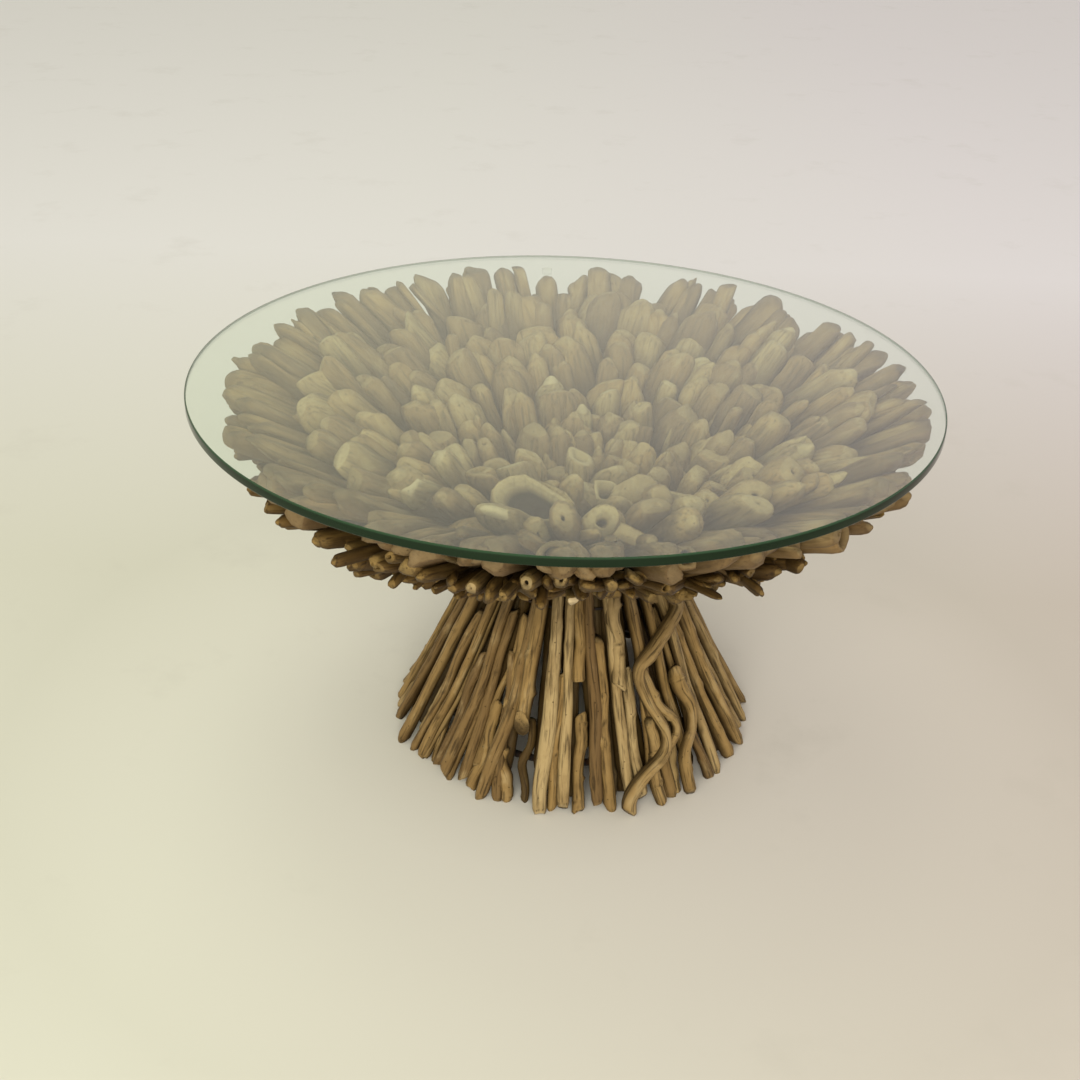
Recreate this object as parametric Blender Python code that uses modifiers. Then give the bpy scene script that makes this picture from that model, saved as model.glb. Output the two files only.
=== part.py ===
"""Driftwood side table: a loose round glass on a bowl of driftwood chunks over a flared stick pedestal.

Units are metres and +Z is up. The origin is on the floor under the middle of the glass.
The bowl is built in rings: every ring of chunks is pinned shoulder to shoulder on its own bent-cane hoop,
and the hoops lie above and below six bent steel ribs that rise out of the pedestal.
"""
import math
import random

import bmesh
import bpy
from mathutils import Vector

# Glass top and its pads
GLASS_DIAMETER = 0.800
GLASS_THICKNESS = 0.010
GLASS_TOP_HEIGHT = 0.436
GLASS_EDGE_ROUND = 0.0015
GLASS_SEGMENTS = 72
PAD_COUNT = 4
PAD_DIAMETER = 0.012
PAD_HEIGHT = 0.0070
PAD_INSET = 0.015
PAD_TURN = math.radians(8.0)
PAD_SEGMENTS = 12

# Where the driftwood stands under the glass
BASE_OFFSET_X = 0.020

# Bowl of chunks, upper rows from the rim to the centre
TOP_ROWS = 7
RIM_TIP_RADIUS = 0.371
RIM_TIP_DROP = 0.009
RIM_OVERHANG = 0.121
CENTRE_TIP_RADIUS = 0.022
DISH_DEPTH = 0.053
DISH_LIP_INSET = 0.051
DISH_CURVE = 1.5
FIRST_DISH_LAY = math.radians(10.3)
CENTRE_RISE = math.radians(87.0)
CENTRE_CHUNK_LENGTH = 0.100
TOP_CHUNK_PITCH = 0.052
TOP_CROWN = 0.0115
TOP_FLAT = 0.0065
RIM_CROWN = 0.0100
RIM_FLAT = 0.0080
RIM_ROOT_RAISE = 0.0006

# Bowl of chunks, rows on the underside from the rim down to the collar
UNDER_ROWS = 5
UNDER_TIP_SETBACK = 0.009
UNDER_TIP_DROP = 0.035
COLLAR_TIP_RADIUS = 0.150
COLLAR_TIP_DROP = 0.1577
UNDER_CURVE = 1.3
UNDER_LAY = math.radians(14.9)
COLLAR_LAY = math.radians(22.4)
COLLAR_OUTSET = 0.0185
UNDER_CHUNK_PITCH = 0.045
UNDER_CROWN = 0.0105
UNDER_FLAT = 0.0050

# Shared by every ring of chunks
CANE_HALF = 0.0040
CHUNK_GAP = 0.0025
CHUNK_SHOULDER_SHARE = 0.78
SEAT_SHOULDER_SHARE = 0.86
LENGTH_SPREAD_SHARE = 0.08
WIDTH_SPREAD_SHARE = 0.18
TIP_SLANT_SHARE = 0.05
CHUNK_THIN_SHARE = 0.85
CHUNK_TAPER_SHARES = (0.55, 0.80)
STUB_TAPER_SHARES = (0.50, 0.68)
TIP_FLAT_SHARE = 0.70
TIP_CROWN_SHARE = 0.75
CREST_LEAN_SHARE = 0.30

# Corners round a chunk: share of its half width, and of its flat (below 0) or crown (above 0) side
CHUNK_CORNERS = ((-1.0, -1.0), (1.0, -1.0), (0.85, 0.5), (0.0, 1.0), (-0.85, 0.5))
STUB_CORNERS = ((-1.0, -1.0), (1.0, -1.0), (0.80, 1.0), (-0.80, 1.0))

# Steel armature
ROD_RADIUS = 0.0040
RIB_COUNT = 6
RIB_TURN = math.radians(30.0)
RIB_UNDER_RIM = 0.0055
RIB_OVER_COLLAR = 0.0203
NECK_HOOP_DROP = 0.025
BASE_HOOP_HEIGHT = 0.030
RIB_FOOT_HEIGHT = 0.002
RIB_BEND_RADIUS = 0.009
RIB_BEND_STEPS = 5
HOOP_SEGMENTS = 6 * RIB_COUNT
ROD_SIDES = 6
ROD_BEVEL_STEPS = 1
HUB_THICKNESS = 0.016
HUB_SEGMENTS = 24

# Pedestal
INNER_COUNT = 28
INNER_TOP_RADIUS = 0.0785
INNER_TOP_DROP = 0.0223
INNER_FOOT_INSET = 0.035
INNER_FOOT_HEIGHT = 0.006
INNER_CROWN = 0.0080
INNER_FLAT = 0.0070
INNER_WIDTH = 0.0175
INNER_SHOULDER_SHARE = 0.95
TIE_DROP = 0.030
TIE_RADIUS = 0.0015
STICK_COUNT = 28
STICK_TURN = math.radians(-10.7)
STICK_FOOT_RADIUS = 0.203
STICK_THICK_MIN = 0.0150
STICK_THICK_MAX = 0.0182
STICK_SIDES = 6
STICK_SWAY = math.radians(2.2)
STICK_BOW = 0.0025
STICK_WEAR_SHARE = 0.84
STUB_INDEX = 20
STUB_FOOT_HEIGHT = 0.088
BRANCH_THICK = 0.0150
BRANCH_STEPS = 2
BRANCH_BEVEL_STEPS = 2
LONG_BRANCH_STICK = 26
SHORT_BRANCH_STICK = 25

# Degrees from the stick that carries the branch, and share of that stick's height
LONG_BRANCH_ROUTE_SHARES = ((0.0, 0.877), (0.0, 0.779), (-11.0, 0.730), (-21.0, 0.675), (-31.0, 0.598),
                            (-29.0, 0.463), (-24.0, 0.320), (-26.0, 0.230), (-35.0, 0.156), (-40.0, 0.082),
                            (-41.0, 0.020))
SHORT_BRANCH_ROUTE_SHARES = ((0.0, 0.553), (0.0, 0.471), (3.0, 0.377), (1.0, 0.279), (-5.0, 0.189),
                             (-6.0, 0.020))

# Fits
CLEARANCE = 0.0003
SEAT_BAND = 0.014
SEED = 7

TAU = 2.0 * math.pi

# Heights that follow from the height of the table
GLASS_BOTTOM = GLASS_TOP_HEIGHT - GLASS_THICKNESS
PAD_SEAT_HEIGHT = GLASS_BOTTOM - PAD_HEIGHT - 2.0 * CLEARANCE
RIM_TIP_HEIGHT = GLASS_BOTTOM - PAD_HEIGHT - RIM_TIP_DROP
COLLAR_TIP_HEIGHT = RIM_TIP_HEIGHT - COLLAR_TIP_DROP
INNER_TOP_HEIGHT = COLLAR_TIP_HEIGHT - INNER_TOP_DROP
NECK_HOOP_HEIGHT = INNER_TOP_HEIGHT - NECK_HOOP_DROP
TIE_HEIGHT = INNER_TOP_HEIGHT - TIE_DROP

# Radii and the line of the ribs, which follow from the rim and the neck
COLLAR_ROOT_RADIUS = INNER_TOP_RADIUS + COLLAR_OUTSET
INNER_FOOT_RADIUS = STICK_FOOT_RADIUS - INNER_FOOT_INSET
DISH_LIP_RADIUS = RIM_TIP_RADIUS - DISH_LIP_INSET
PAD_CIRCLE_RADIUS = RIM_TIP_RADIUS - PAD_INSET
RIM_HOOP_RADIUS = RIM_TIP_RADIUS - RIM_OVERHANG
UNDER_TIP_RADIUS = RIM_TIP_RADIUS - UNDER_TIP_SETBACK
THROAT_HEIGHT = COLLAR_TIP_HEIGHT + RIB_OVER_COLLAR
BOWL_RIB_SLOPE = math.atan2(RIM_TIP_HEIGHT - RIB_UNDER_RIM - THROAT_HEIGHT,
                            RIM_TIP_RADIUS - COLLAR_ROOT_RADIUS)


class Row:
    """One ring of chunks: its hoop at (root_r, root_z), chunks running out along rise to the tips."""

    def __init__(self, name, root, tip, count, crown, flat, crown_side=1.0, corners=CHUNK_CORNERS,
                 tapers=CHUNK_TAPER_SHARES, shoulder=CHUNK_SHOULDER_SHARE, width=math.inf):
        self.name = name
        self.root_r, self.root_z = root
        self.tip_r, self.tip_z = tip
        self.rise = math.atan2(self.tip_z - self.root_z, self.tip_r - self.root_r)
        self.length = math.hypot(self.tip_z - self.root_z, self.tip_r - self.root_r)
        self.count = count
        self.crown = crown
        self.flat = flat
        self.crown_side = crown_side
        self.corners = corners
        self.tapers = tapers
        self.shoulder = shoulder
        self.width = width
        self.phase = RIB_TURN + math.pi / count
        self.seats = {}

    def section(self, s, t):
        """Radius and height of the point s along the chunk and t across it."""
        r = self.root_r + s * math.cos(self.rise) - t * math.sin(self.rise)
        z = self.root_z + s * math.sin(self.rise) + t * math.cos(self.rise)
        return r, z

    def point(self, s, t, angle):
        """The same point turned to an angle about the bowl's axis."""
        r, z = self.section(s, t)
        return Vector((r * math.cos(angle), r * math.sin(angle), z))

    def half_angle(self, s):
        """Half of the angle that a chunk may fill at s, so that it stays clear of its neighbours."""
        radius = self.section(s, 0.0)[0]
        return min(math.pi / self.count - 0.5 * CHUNK_GAP / radius, 0.5 * self.width / radius)

    def lift_to(self, s, height):
        """How far across the chunk a point at s has to lie to reach a height."""
        return (height - self.root_z - s * math.sin(self.rise)) / math.cos(self.rise)


def lerp(a, b, share):
    return a + (b - a) * share


def rim_root_radius():
    """Radius of the rim row's hoop, which lies round the outside of the steel rim hoop."""
    stand_off = (ROD_RADIUS * math.cos(BOWL_RIB_SLOPE) + CLEARANCE + CANE_HALF) * math.cos(BOWL_RIB_SLOPE)
    return (RIM_HOOP_RADIUS + stand_off) / math.cos(math.pi / chunk_count(RIM_TIP_RADIUS, TOP_CHUNK_PITCH))


def along_bowl_rib(radius, offset=0.0):
    """Height of the line parallel to the bowl ribs, offset square to them."""
    climb = (radius - COLLAR_ROOT_RADIUS) * math.tan(BOWL_RIB_SLOPE)
    return THROAT_HEIGHT + climb + offset / math.cos(BOWL_RIB_SLOPE)


def hoop_stand_off(rise):
    """Distance from rib axis to hoop axis for a square cane hoop turned to its row's rise."""
    turn = rise - BOWL_RIB_SLOPE
    half = CANE_HALF * (abs(math.cos(turn)) + abs(math.sin(turn)))
    return ROD_RADIUS + CLEARANCE + half


def root_on_ribs(tip, rise, side):
    """Where a chunk axis that leaves its tip at a rise meets the hoop line above or below the ribs."""
    base = along_bowl_rib(0.0, side * hoop_stand_off(rise))
    slope = math.tan(BOWL_RIB_SLOPE)
    steep = math.tan(rise)
    radius = (tip[1] - steep * tip[0] - base) / (slope - steep)
    return radius, base + slope * radius


def dish_height(radius):
    """Height of the upper tips: a dish that levels out under the rim of the glass."""
    return RIM_TIP_HEIGHT - DISH_DEPTH * (1.0 - min(1.0, radius / DISH_LIP_RADIUS) ** DISH_CURVE)


def under_height(radius):
    """Height of the tips on the underside, from the collar up to the rim."""
    low = (COLLAR_TIP_RADIUS / UNDER_TIP_RADIUS) ** UNDER_CURVE
    share = ((radius / UNDER_TIP_RADIUS) ** UNDER_CURVE - low) / (1.0 - low)
    return lerp(COLLAR_TIP_HEIGHT, RIM_TIP_HEIGHT - UNDER_TIP_DROP, share)


def under_slope(radius):
    """Slope of the underside at a radius, from the derivative of its height."""
    low = (COLLAR_TIP_RADIUS / UNDER_TIP_RADIUS) ** UNDER_CURVE
    steep = UNDER_CURVE / UNDER_TIP_RADIUS * (radius / UNDER_TIP_RADIUS) ** (UNDER_CURVE - 1.0)
    return math.atan(steep * (COLLAR_TIP_DROP - UNDER_TIP_DROP) / (1.0 - low))


def chunk_count(radius, pitch):
    return max(4, round(TAU * radius / pitch))


def top_rows():
    """The rim row, the dish rows and the centre row."""
    count = chunk_count(RIM_TIP_RADIUS, TOP_CHUNK_PITCH)
    rim_root = (rim_root_radius(), along_bowl_rib(rim_root_radius(), RIM_ROOT_RAISE))
    rim_tip = (RIM_TIP_RADIUS, dish_height(RIM_TIP_RADIUS))
    rows = [Row("rim_row", rim_root, rim_tip, count, RIM_CROWN, RIM_FLAT)]
    for index in range(1, TOP_ROWS):
        radius = lerp(RIM_TIP_RADIUS, CENTRE_TIP_RADIUS, index / (TOP_ROWS - 1))
        rise = lerp(BOWL_RIB_SLOPE + FIRST_DISH_LAY, CENTRE_RISE, (index - 1) / (TOP_ROWS - 2))
        tip = (radius, dish_height(radius))
        name = f"dish_row_{index}"
        root = root_on_ribs(tip, rise, 1.0)
        if index == TOP_ROWS - 1:
            name = "centre_row"
            root = (tip[0] - CENTRE_CHUNK_LENGTH * math.cos(rise),
                    tip[1] - CENTRE_CHUNK_LENGTH * math.sin(rise))
        count = chunk_count(radius, TOP_CHUNK_PITCH)
        rows.append(Row(name, root, tip, count, TOP_CROWN, TOP_FLAT))
    return rows


def under_rows():
    """Rows on the underside; the lowest is the collar that hides the stick tops."""
    rows = []
    for index in range(UNDER_ROWS):
        share = index / (UNDER_ROWS - 1)
        radius = lerp(UNDER_TIP_RADIUS, COLLAR_TIP_RADIUS, share)
        rise = under_slope(radius) - lerp(UNDER_LAY, COLLAR_LAY, share)
        tip = (radius, under_height(radius))
        name = f"under_row_{index + 1}"
        root = root_on_ribs(tip, rise, -1.0)
        if index == UNDER_ROWS - 1:
            name = "collar_row"
            root = (COLLAR_ROOT_RADIUS, tip[1] - (tip[0] - COLLAR_ROOT_RADIUS) * math.tan(rise))
        count = chunk_count(radius, UNDER_CHUNK_PITCH)
        rows.append(Row(name, root, tip, count, UNDER_CROWN, UNDER_FLAT, crown_side=-1.0,
                        corners=STUB_CORNERS, tapers=STUB_TAPER_SHARES))
    return rows


def inner_stick_row():
    """The inner layer of sticks hangs from its own cane hoop, and shows in the gaps of the outer layer."""
    row = Row("inner_sticks", (INNER_TOP_RADIUS, INNER_TOP_HEIGHT), (INNER_FOOT_RADIUS, INNER_FOOT_HEIGHT),
              INNER_COUNT, INNER_CROWN, INNER_FLAT, corners=STUB_CORNERS, shoulder=INNER_SHOULDER_SHARE,
              width=INNER_WIDTH)
    row.phase = STICK_TURN
    return row


def inner_face(row, height, side):
    """Radius at a height of the inner sticks' outer (side 1) or inner (side -1) face."""
    full = row.crown if side > 0.0 else row.flat
    drop = (height - row.root_z) / math.sin(row.rise)
    share = drop / (row.shoulder * row.length)
    half = lerp(CANE_HALF, full, share)
    radius = row.root_r + drop * math.cos(row.rise) + side * half / -math.sin(row.rise)
    half_angle = lerp(math.pi / row.count, row.half_angle(row.shoulder * row.length), share)
    return radius if side > 0.0 else radius * math.cos(half_angle)


def make_material(name, colour, roughness, metallic=0.0, transmission=0.0):
    material = bpy.data.materials.new(name)
    material.use_nodes = True
    shader = material.node_tree.nodes["Principled BSDF"]
    shader.inputs["Base Color"].default_value = (*colour, 1.0)
    shader.inputs["Roughness"].default_value = roughness
    shader.inputs["Metallic"].default_value = metallic
    shader.inputs["Transmission Weight"].default_value = transmission
    return material


def add_mesh_object(name, bm, material, parent):
    """Close a bmesh into a named object under its parent."""
    bmesh.ops.recalc_face_normals(bm, faces=bm.faces)
    if bm.calc_volume(signed=True) < 0.0:
        bmesh.ops.reverse_faces(bm, faces=bm.faces)
    mesh = bpy.data.meshes.new(name)
    bm.to_mesh(mesh)
    bm.free()
    return add_object(name, mesh, material, parent)


def add_object(name, data, material, parent):
    item = bpy.data.objects.new(name, data)
    item.data.materials.append(material)
    item.parent = parent
    TABLE.objects.link(item)
    return item


def adopt(item, name, material, parent):
    """Name a freshly added primitive and move it into the table's collection."""
    item.name = name
    item.data.name = name
    item.data.materials.append(material)
    for collection in list(item.users_collection):
        collection.objects.unlink(item)
    TABLE.objects.link(item)
    item.parent = parent
    return item


def bridge(bm, first, second):
    """Quads between two closed loops of the same length."""
    for k in range(len(first)):
        after = (k + 1) % len(first)
        bm.faces.new((first[k], first[after], second[after], second[k]))


def chunk_loop(bm, row, angle, s_values, half_angle, low, high, lean):
    """Corners round a chunk, on its flat side at -low and its crown side up to high; the crest leans."""
    loop = []
    for s, (share, across) in zip(s_values, row.corners):
        turn = (lean if share == 0.0 else share) * half_angle
        rise = across * (high if across > 0.0 else low)
        loop.append(bm.verts.new(row.point(s, row.crown_side * rise, angle + turn)))
    return loop


def chunk_sections(bm, row, angle, index, rng):
    """Shoulder and tip loops of one chunk, with its own length, width and slant."""
    length = row.length * (1.0 - LENGTH_SPREAD_SHARE * rng.random())
    width = 1.0 - WIDTH_SPREAD_SHARE * rng.random()
    lean = rng.uniform(-CREST_LEAN_SHARE, CREST_LEAN_SHARE)
    taper = rng.uniform(*row.tapers)
    slant = TIP_SLANT_SHARE * length * rng.uniform(-1.0, 1.0)
    thick = rng.uniform(CHUNK_THIN_SHARE, 1.0)
    shoulder = SEAT_SHOULDER_SHARE * row.length if index in row.seats else row.shoulder * length
    half_angle = width * row.half_angle(shoulder)
    low, high = thick * row.flat, thick * row.crown
    body = chunk_loop(bm, row, angle, [shoulder] * len(row.corners), half_angle, low, high, lean)
    tip_s = [length - abs(slant) + slant * share for share, _ in row.corners]
    end = chunk_loop(bm, row, angle, tip_s, taper * half_angle, TIP_FLAT_SHARE * low,
                     TIP_CROWN_SHARE * high, lean)
    if index in row.seats:
        level_seat(row, angle, body, shoulder, half_angle, row.seats[index])
        level_seat(row, angle, end, row.length, half_angle, row.seats[index])
    return body, end


def level_seat(row, angle, loop, s, half_angle, height):
    """Saw the crown of a chunk level at a height, so that a pad can lie on it."""
    for vert, (share, across) in zip(loop, row.corners):
        rise = row.lift_to(s, height) if across > 0.0 else -row.flat
        turn = half_angle * (share > 0.0) - half_angle * (share < 0.0)
        vert.co = row.point(s, rise, angle + turn)


def build_row(row, material, parent, seed):
    """A square cane hoop with one lofted chunk growing from each of its cells, as one closed body."""
    rng = random.Random(seed)
    bm = bmesh.new()
    side = row.crown_side
    pitch = TAU / row.count
    corners = [(s, t) for s in (-CANE_HALF, CANE_HALF) for t in (-CANE_HALF, CANE_HALF)]
    stations = []
    for index in range(row.count):
        angle = row.phase + (index - 0.5) * pitch
        stations.append([bm.verts.new(row.point(s, side * t, angle)) for s, t in corners])
    for index in range(row.count):
        angle = row.phase + index * pitch
        back_low, back_high, low, high = stations[index]
        next_back_low, next_back_high, next_low, next_high = stations[(index + 1) % row.count]
        bm.faces.new((back_low, next_back_low, next_back_high, back_high))
        bm.faces.new((back_low, next_back_low, next_low, low))
        root = [low, next_low, next_high, high]
        if len(row.corners) > len(root):
            root.insert(3, bm.verts.new(row.point(CANE_HALF, side * CANE_HALF, angle)))
        bm.faces.new([back_high, next_back_high] + root[2:])
        body, end = chunk_sections(bm, row, angle, index, rng)
        bridge(bm, root, body)
        bridge(bm, body, end)
        bm.faces.new(end)
    return add_mesh_object(row.name, bm, material, parent)


def set_pad_seats(rim, seat_height):
    """Pick the rim chunk nearest to each pad and have its top sawn level there."""
    pitch = TAU / rim.count
    for number in range(PAD_COUNT):
        angle = PAD_TURN + number * TAU / PAD_COUNT - rim.phase
        rim.seats[round(angle / pitch) % rim.count] = seat_height


def build_glass(material, parent):
    bpy.ops.mesh.primitive_cylinder_add(vertices=GLASS_SEGMENTS, radius=0.5 * GLASS_DIAMETER,
                                        depth=GLASS_THICKNESS)
    glass = adopt(bpy.context.object, "glass_top", material, parent)
    edge = glass.modifiers.new("polished_edge", "BEVEL")
    edge.width = GLASS_EDGE_ROUND
    edge.segments = 1
    edge.limit_method = "ANGLE"
    return glass


def build_pads(rim, material, parent, seat_height):
    """Clear pads on the levelled rim chunks, just under the glass."""
    pitch = TAU / rim.count
    for number, index in enumerate(sorted(rim.seats), start=1):
        angle = rim.phase + index * pitch
        bpy.ops.mesh.primitive_cylinder_add(vertices=PAD_SEGMENTS, radius=0.5 * PAD_DIAMETER,
                                            depth=PAD_HEIGHT)
        pad = adopt(bpy.context.object, f"glass_pad_{number}", material, parent)
        pad.location = (PAD_CIRCLE_RADIUS * math.cos(angle), PAD_CIRCLE_RADIUS * math.sin(angle),
                        seat_height + CLEARANCE + 0.5 * PAD_HEIGHT)


def build_hoop(name, radius, height, rod, material, parent):
    """A welded ring of rod, turned so that one of its corners lies at every rib."""
    bpy.ops.mesh.primitive_torus_add(major_radius=radius, minor_radius=rod,
                                     major_segments=HOOP_SEGMENTS, minor_segments=ROD_SIDES)
    hoop = adopt(bpy.context.object, name, material, parent)
    hoop.location.z = height
    hoop.rotation_euler.z = RIB_TURN
    return hoop


def fillet(before, corner, after, radius, steps):
    """Points of the arc that rounds a corner of a path."""
    back = (before - corner).normalized()
    ahead = (after - corner).normalized()
    half = 0.5 * back.angle(ahead)
    centre = corner + (back + ahead).normalized() * radius / math.sin(half)
    start = corner + back * radius / math.tan(half) - centre
    end = corner + ahead * radius / math.tan(half) - centre
    turn = start.angle(end)
    points = []
    for step in range(steps + 1):
        share = step / steps
        blend = math.sin((1.0 - share) * turn) * start + math.sin(share * turn) * end
        points.append(centre + blend / math.sin(turn))
    return points


def rib_profile(neck_radius, base_radius):
    """Rib path in radius and height: up inside the hoops, round the throat and out to the rim hoop."""
    neck = Vector((neck_radius, NECK_HOOP_HEIGHT))
    base = Vector((base_radius, BASE_HOOP_HEIGHT))
    direction = (neck - base).normalized()
    foot = base + direction * (RIB_FOOT_HEIGHT - BASE_HOOP_HEIGHT) / direction.y
    slope = math.tan(BOWL_RIB_SLOPE)
    reach = (along_bowl_rib(base.x) - base.y) / (direction.y - slope * direction.x)
    corner = base + direction * reach
    end_radius = RIM_HOOP_RADIUS - (ROD_RADIUS + CLEARANCE) * math.cos(BOWL_RIB_SLOPE)
    end = Vector((end_radius, along_bowl_rib(end_radius)))
    return [foot] + fillet(foot, corner, end, RIB_BEND_RADIUS, RIB_BEND_STEPS) + [end]


def build_rod(name, places, radius, resolution, material, parent):
    """A round rod along a path, with closed ends."""
    curve = bpy.data.curves.new(name, "CURVE")
    curve.dimensions = "3D"
    curve.bevel_depth = radius
    curve.bevel_resolution = resolution
    curve.use_fill_caps = True
    spline = curve.splines.new("POLY")
    spline.points.add(len(places) - 1)
    for point, place in zip(spline.points, places):
        point.co = (*place, 1.0)
    return add_object(name, curve, material, parent)


def build_rib(name, profile, angle, material, parent):
    """A bent steel rod in the plane at an angle about the axis."""
    places = [Vector((place.x * math.cos(angle), place.x * math.sin(angle), place.y)) for place in profile]
    return build_rod(name, places, ROD_RADIUS, ROD_BEVEL_STEPS, material, parent)


def build_hub(throat, top, material, parent):
    """Wooden hub wedged in the throat of the ribs; the centre row stands on it."""
    radius = throat - ROD_RADIUS - CLEARANCE
    bpy.ops.mesh.primitive_cylinder_add(vertices=HUB_SEGMENTS, radius=radius, depth=HUB_THICKNESS)
    hub = adopt(bpy.context.object, "hub_disc", material, parent)
    hub.location.z = top - 0.5 * HUB_THICKNESS
    return hub


class Stick:
    """One leaning stick: its thickness, its angle at foot and tie, and its axis in radius by height."""

    def __init__(self, index, tie_hoop_radius, top_height, rng):
        self.radius = 0.5 * rng.uniform(STICK_THICK_MIN, STICK_THICK_MAX)
        self.angle = STICK_TURN + (index + 0.5) * TAU / STICK_COUNT
        self.carries_branch = index in (LONG_BRANCH_STICK, SHORT_BRANCH_STICK)
        self.sway = 0.0 if self.carries_branch else rng.uniform(-STICK_SWAY, STICK_SWAY)
        self.bow = 0.0 if self.carries_branch else STICK_BOW * rng.random()
        self.top = top_height
        self.bottom = STUB_FOOT_HEIGHT if index == STUB_INDEX else 0.0
        gap = TIE_RADIUS + CLEARANCE + self.radius
        foot = STICK_FOOT_RADIUS - self.radius
        self.lean = math.atan2(foot - tie_hoop_radius - gap, TIE_HEIGHT)
        self.tie_radius = tie_hoop_radius + gap / math.cos(self.lean)
        self.slope = (foot - self.tie_radius) / TIE_HEIGHT

    def axis_radius(self, height):
        """Straight from the tie to the foot, with a slight outward bow between them."""
        share = min(1.0, max(0.0, (TIE_HEIGHT - SEAT_BAND - height) / TIE_HEIGHT))
        straight = self.tie_radius + self.slope * (TIE_HEIGHT - height)
        return straight + self.bow * math.sin(math.pi * share)

    def axis_angle(self, height):
        return self.angle + self.sway * max(0.0, (TIE_HEIGHT - SEAT_BAND - height) / TIE_HEIGHT)

    def outer_face(self, height):
        return self.axis_radius(height) + self.radius / math.cos(self.lean)

    def heights(self):
        """Levels of the stick's sections, with a straight band where the tie hoop passes."""
        below = TIE_HEIGHT - SEAT_BAND
        levels = [lerp(self.bottom, below, step / 3.0) for step in range(3)]
        return levels + [below, TIE_HEIGHT + SEAT_BAND, self.top]


def level_section(bm, radius, angle, height, thick, lean, wear):
    """A level cut through a leaning stick; the first corner faces the axis."""
    outward = Vector((math.cos(angle), math.sin(angle), 0.0))
    across = Vector((-math.sin(angle), math.cos(angle), 0.0))
    centre = radius * outward + Vector((0.0, 0.0, height))
    loop = []
    for k in range(STICK_SIDES):
        turn = TAU * k / STICK_SIDES
        reach = thick * wear[k]
        loop.append(bm.verts.new(centre - outward * reach * math.cos(turn) / math.cos(lean)
                                 + across * reach * math.sin(turn)))
    return loop


def close_loft(bm, loops):
    for first, second in zip(loops, loops[1:]):
        bridge(bm, first, second)
    bm.faces.new(loops[0])
    bm.faces.new(loops[-1])


def build_stick(name, stick, rng, material, parent):
    """Loft of worn level sections, round where the stick meets the tie hoop or carries a branch."""
    bm = bmesh.new()
    loops = []
    for height in stick.heights():
        seated = stick.carries_branch or abs(height - TIE_HEIGHT) <= SEAT_BAND + CLEARANCE
        wear = [1.0 if seated else rng.uniform(STICK_WEAR_SHARE, 1.0) for _ in range(STICK_SIDES)]
        loops.append(level_section(bm, stick.axis_radius(height), stick.axis_angle(height), height,
                                   stick.radius, stick.lean, wear))
    close_loft(bm, loops)
    return add_mesh_object(name, bm, material, parent)


def smooth_route(places, steps):
    """Points of a Catmull-Rom curve through the places of a route."""
    ends = [2.0 * places[0] - places[1]] + places + [2.0 * places[-1] - places[-2]]
    points = []
    for a, b, c, d in zip(ends, ends[1:], ends[2:], ends[3:]):
        for step in range(steps):
            u = step / steps
            points.append(0.5 * (2.0 * b + u * (c - a) + u * u * (2.0 * a - 5.0 * b + 4.0 * c - d)
                                 + u ** 3 * (3.0 * b - 3.0 * c + d - a)))
    return points + [places[-1]]


def build_branch(name, route, seat_stick, sticks, material, parent):
    """A winding branch that follows its route over the outer sticks."""
    stand_off = (CLEARANCE + 0.5 * BRANCH_THICK) / math.cos(seat_stick.lean)
    places = []
    for turn, share in route:
        height = share * seat_stick.top
        carriers = [seat_stick] if turn == 0.0 else sticks
        radius = stand_off + max(stick.outer_face(height) for stick in carriers)
        angle = seat_stick.angle + math.radians(turn)
        places.append(Vector((radius * math.cos(angle), radius * math.sin(angle), height)))
    path = smooth_route(places, BRANCH_STEPS)
    return build_rod(name, path, 0.5 * BRANCH_THICK, BRANCH_BEVEL_STEPS, material, parent)


def add_empty(name, place):
    empty = bpy.data.objects.new(name, None)
    empty.location = place
    TABLE.objects.link(empty)
    return empty


for old in list(bpy.data.objects):
    bpy.data.objects.remove(old)

TABLE = bpy.data.collections.new("driftwood_side_table")
bpy.context.scene.collection.children.link(TABLE)


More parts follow.
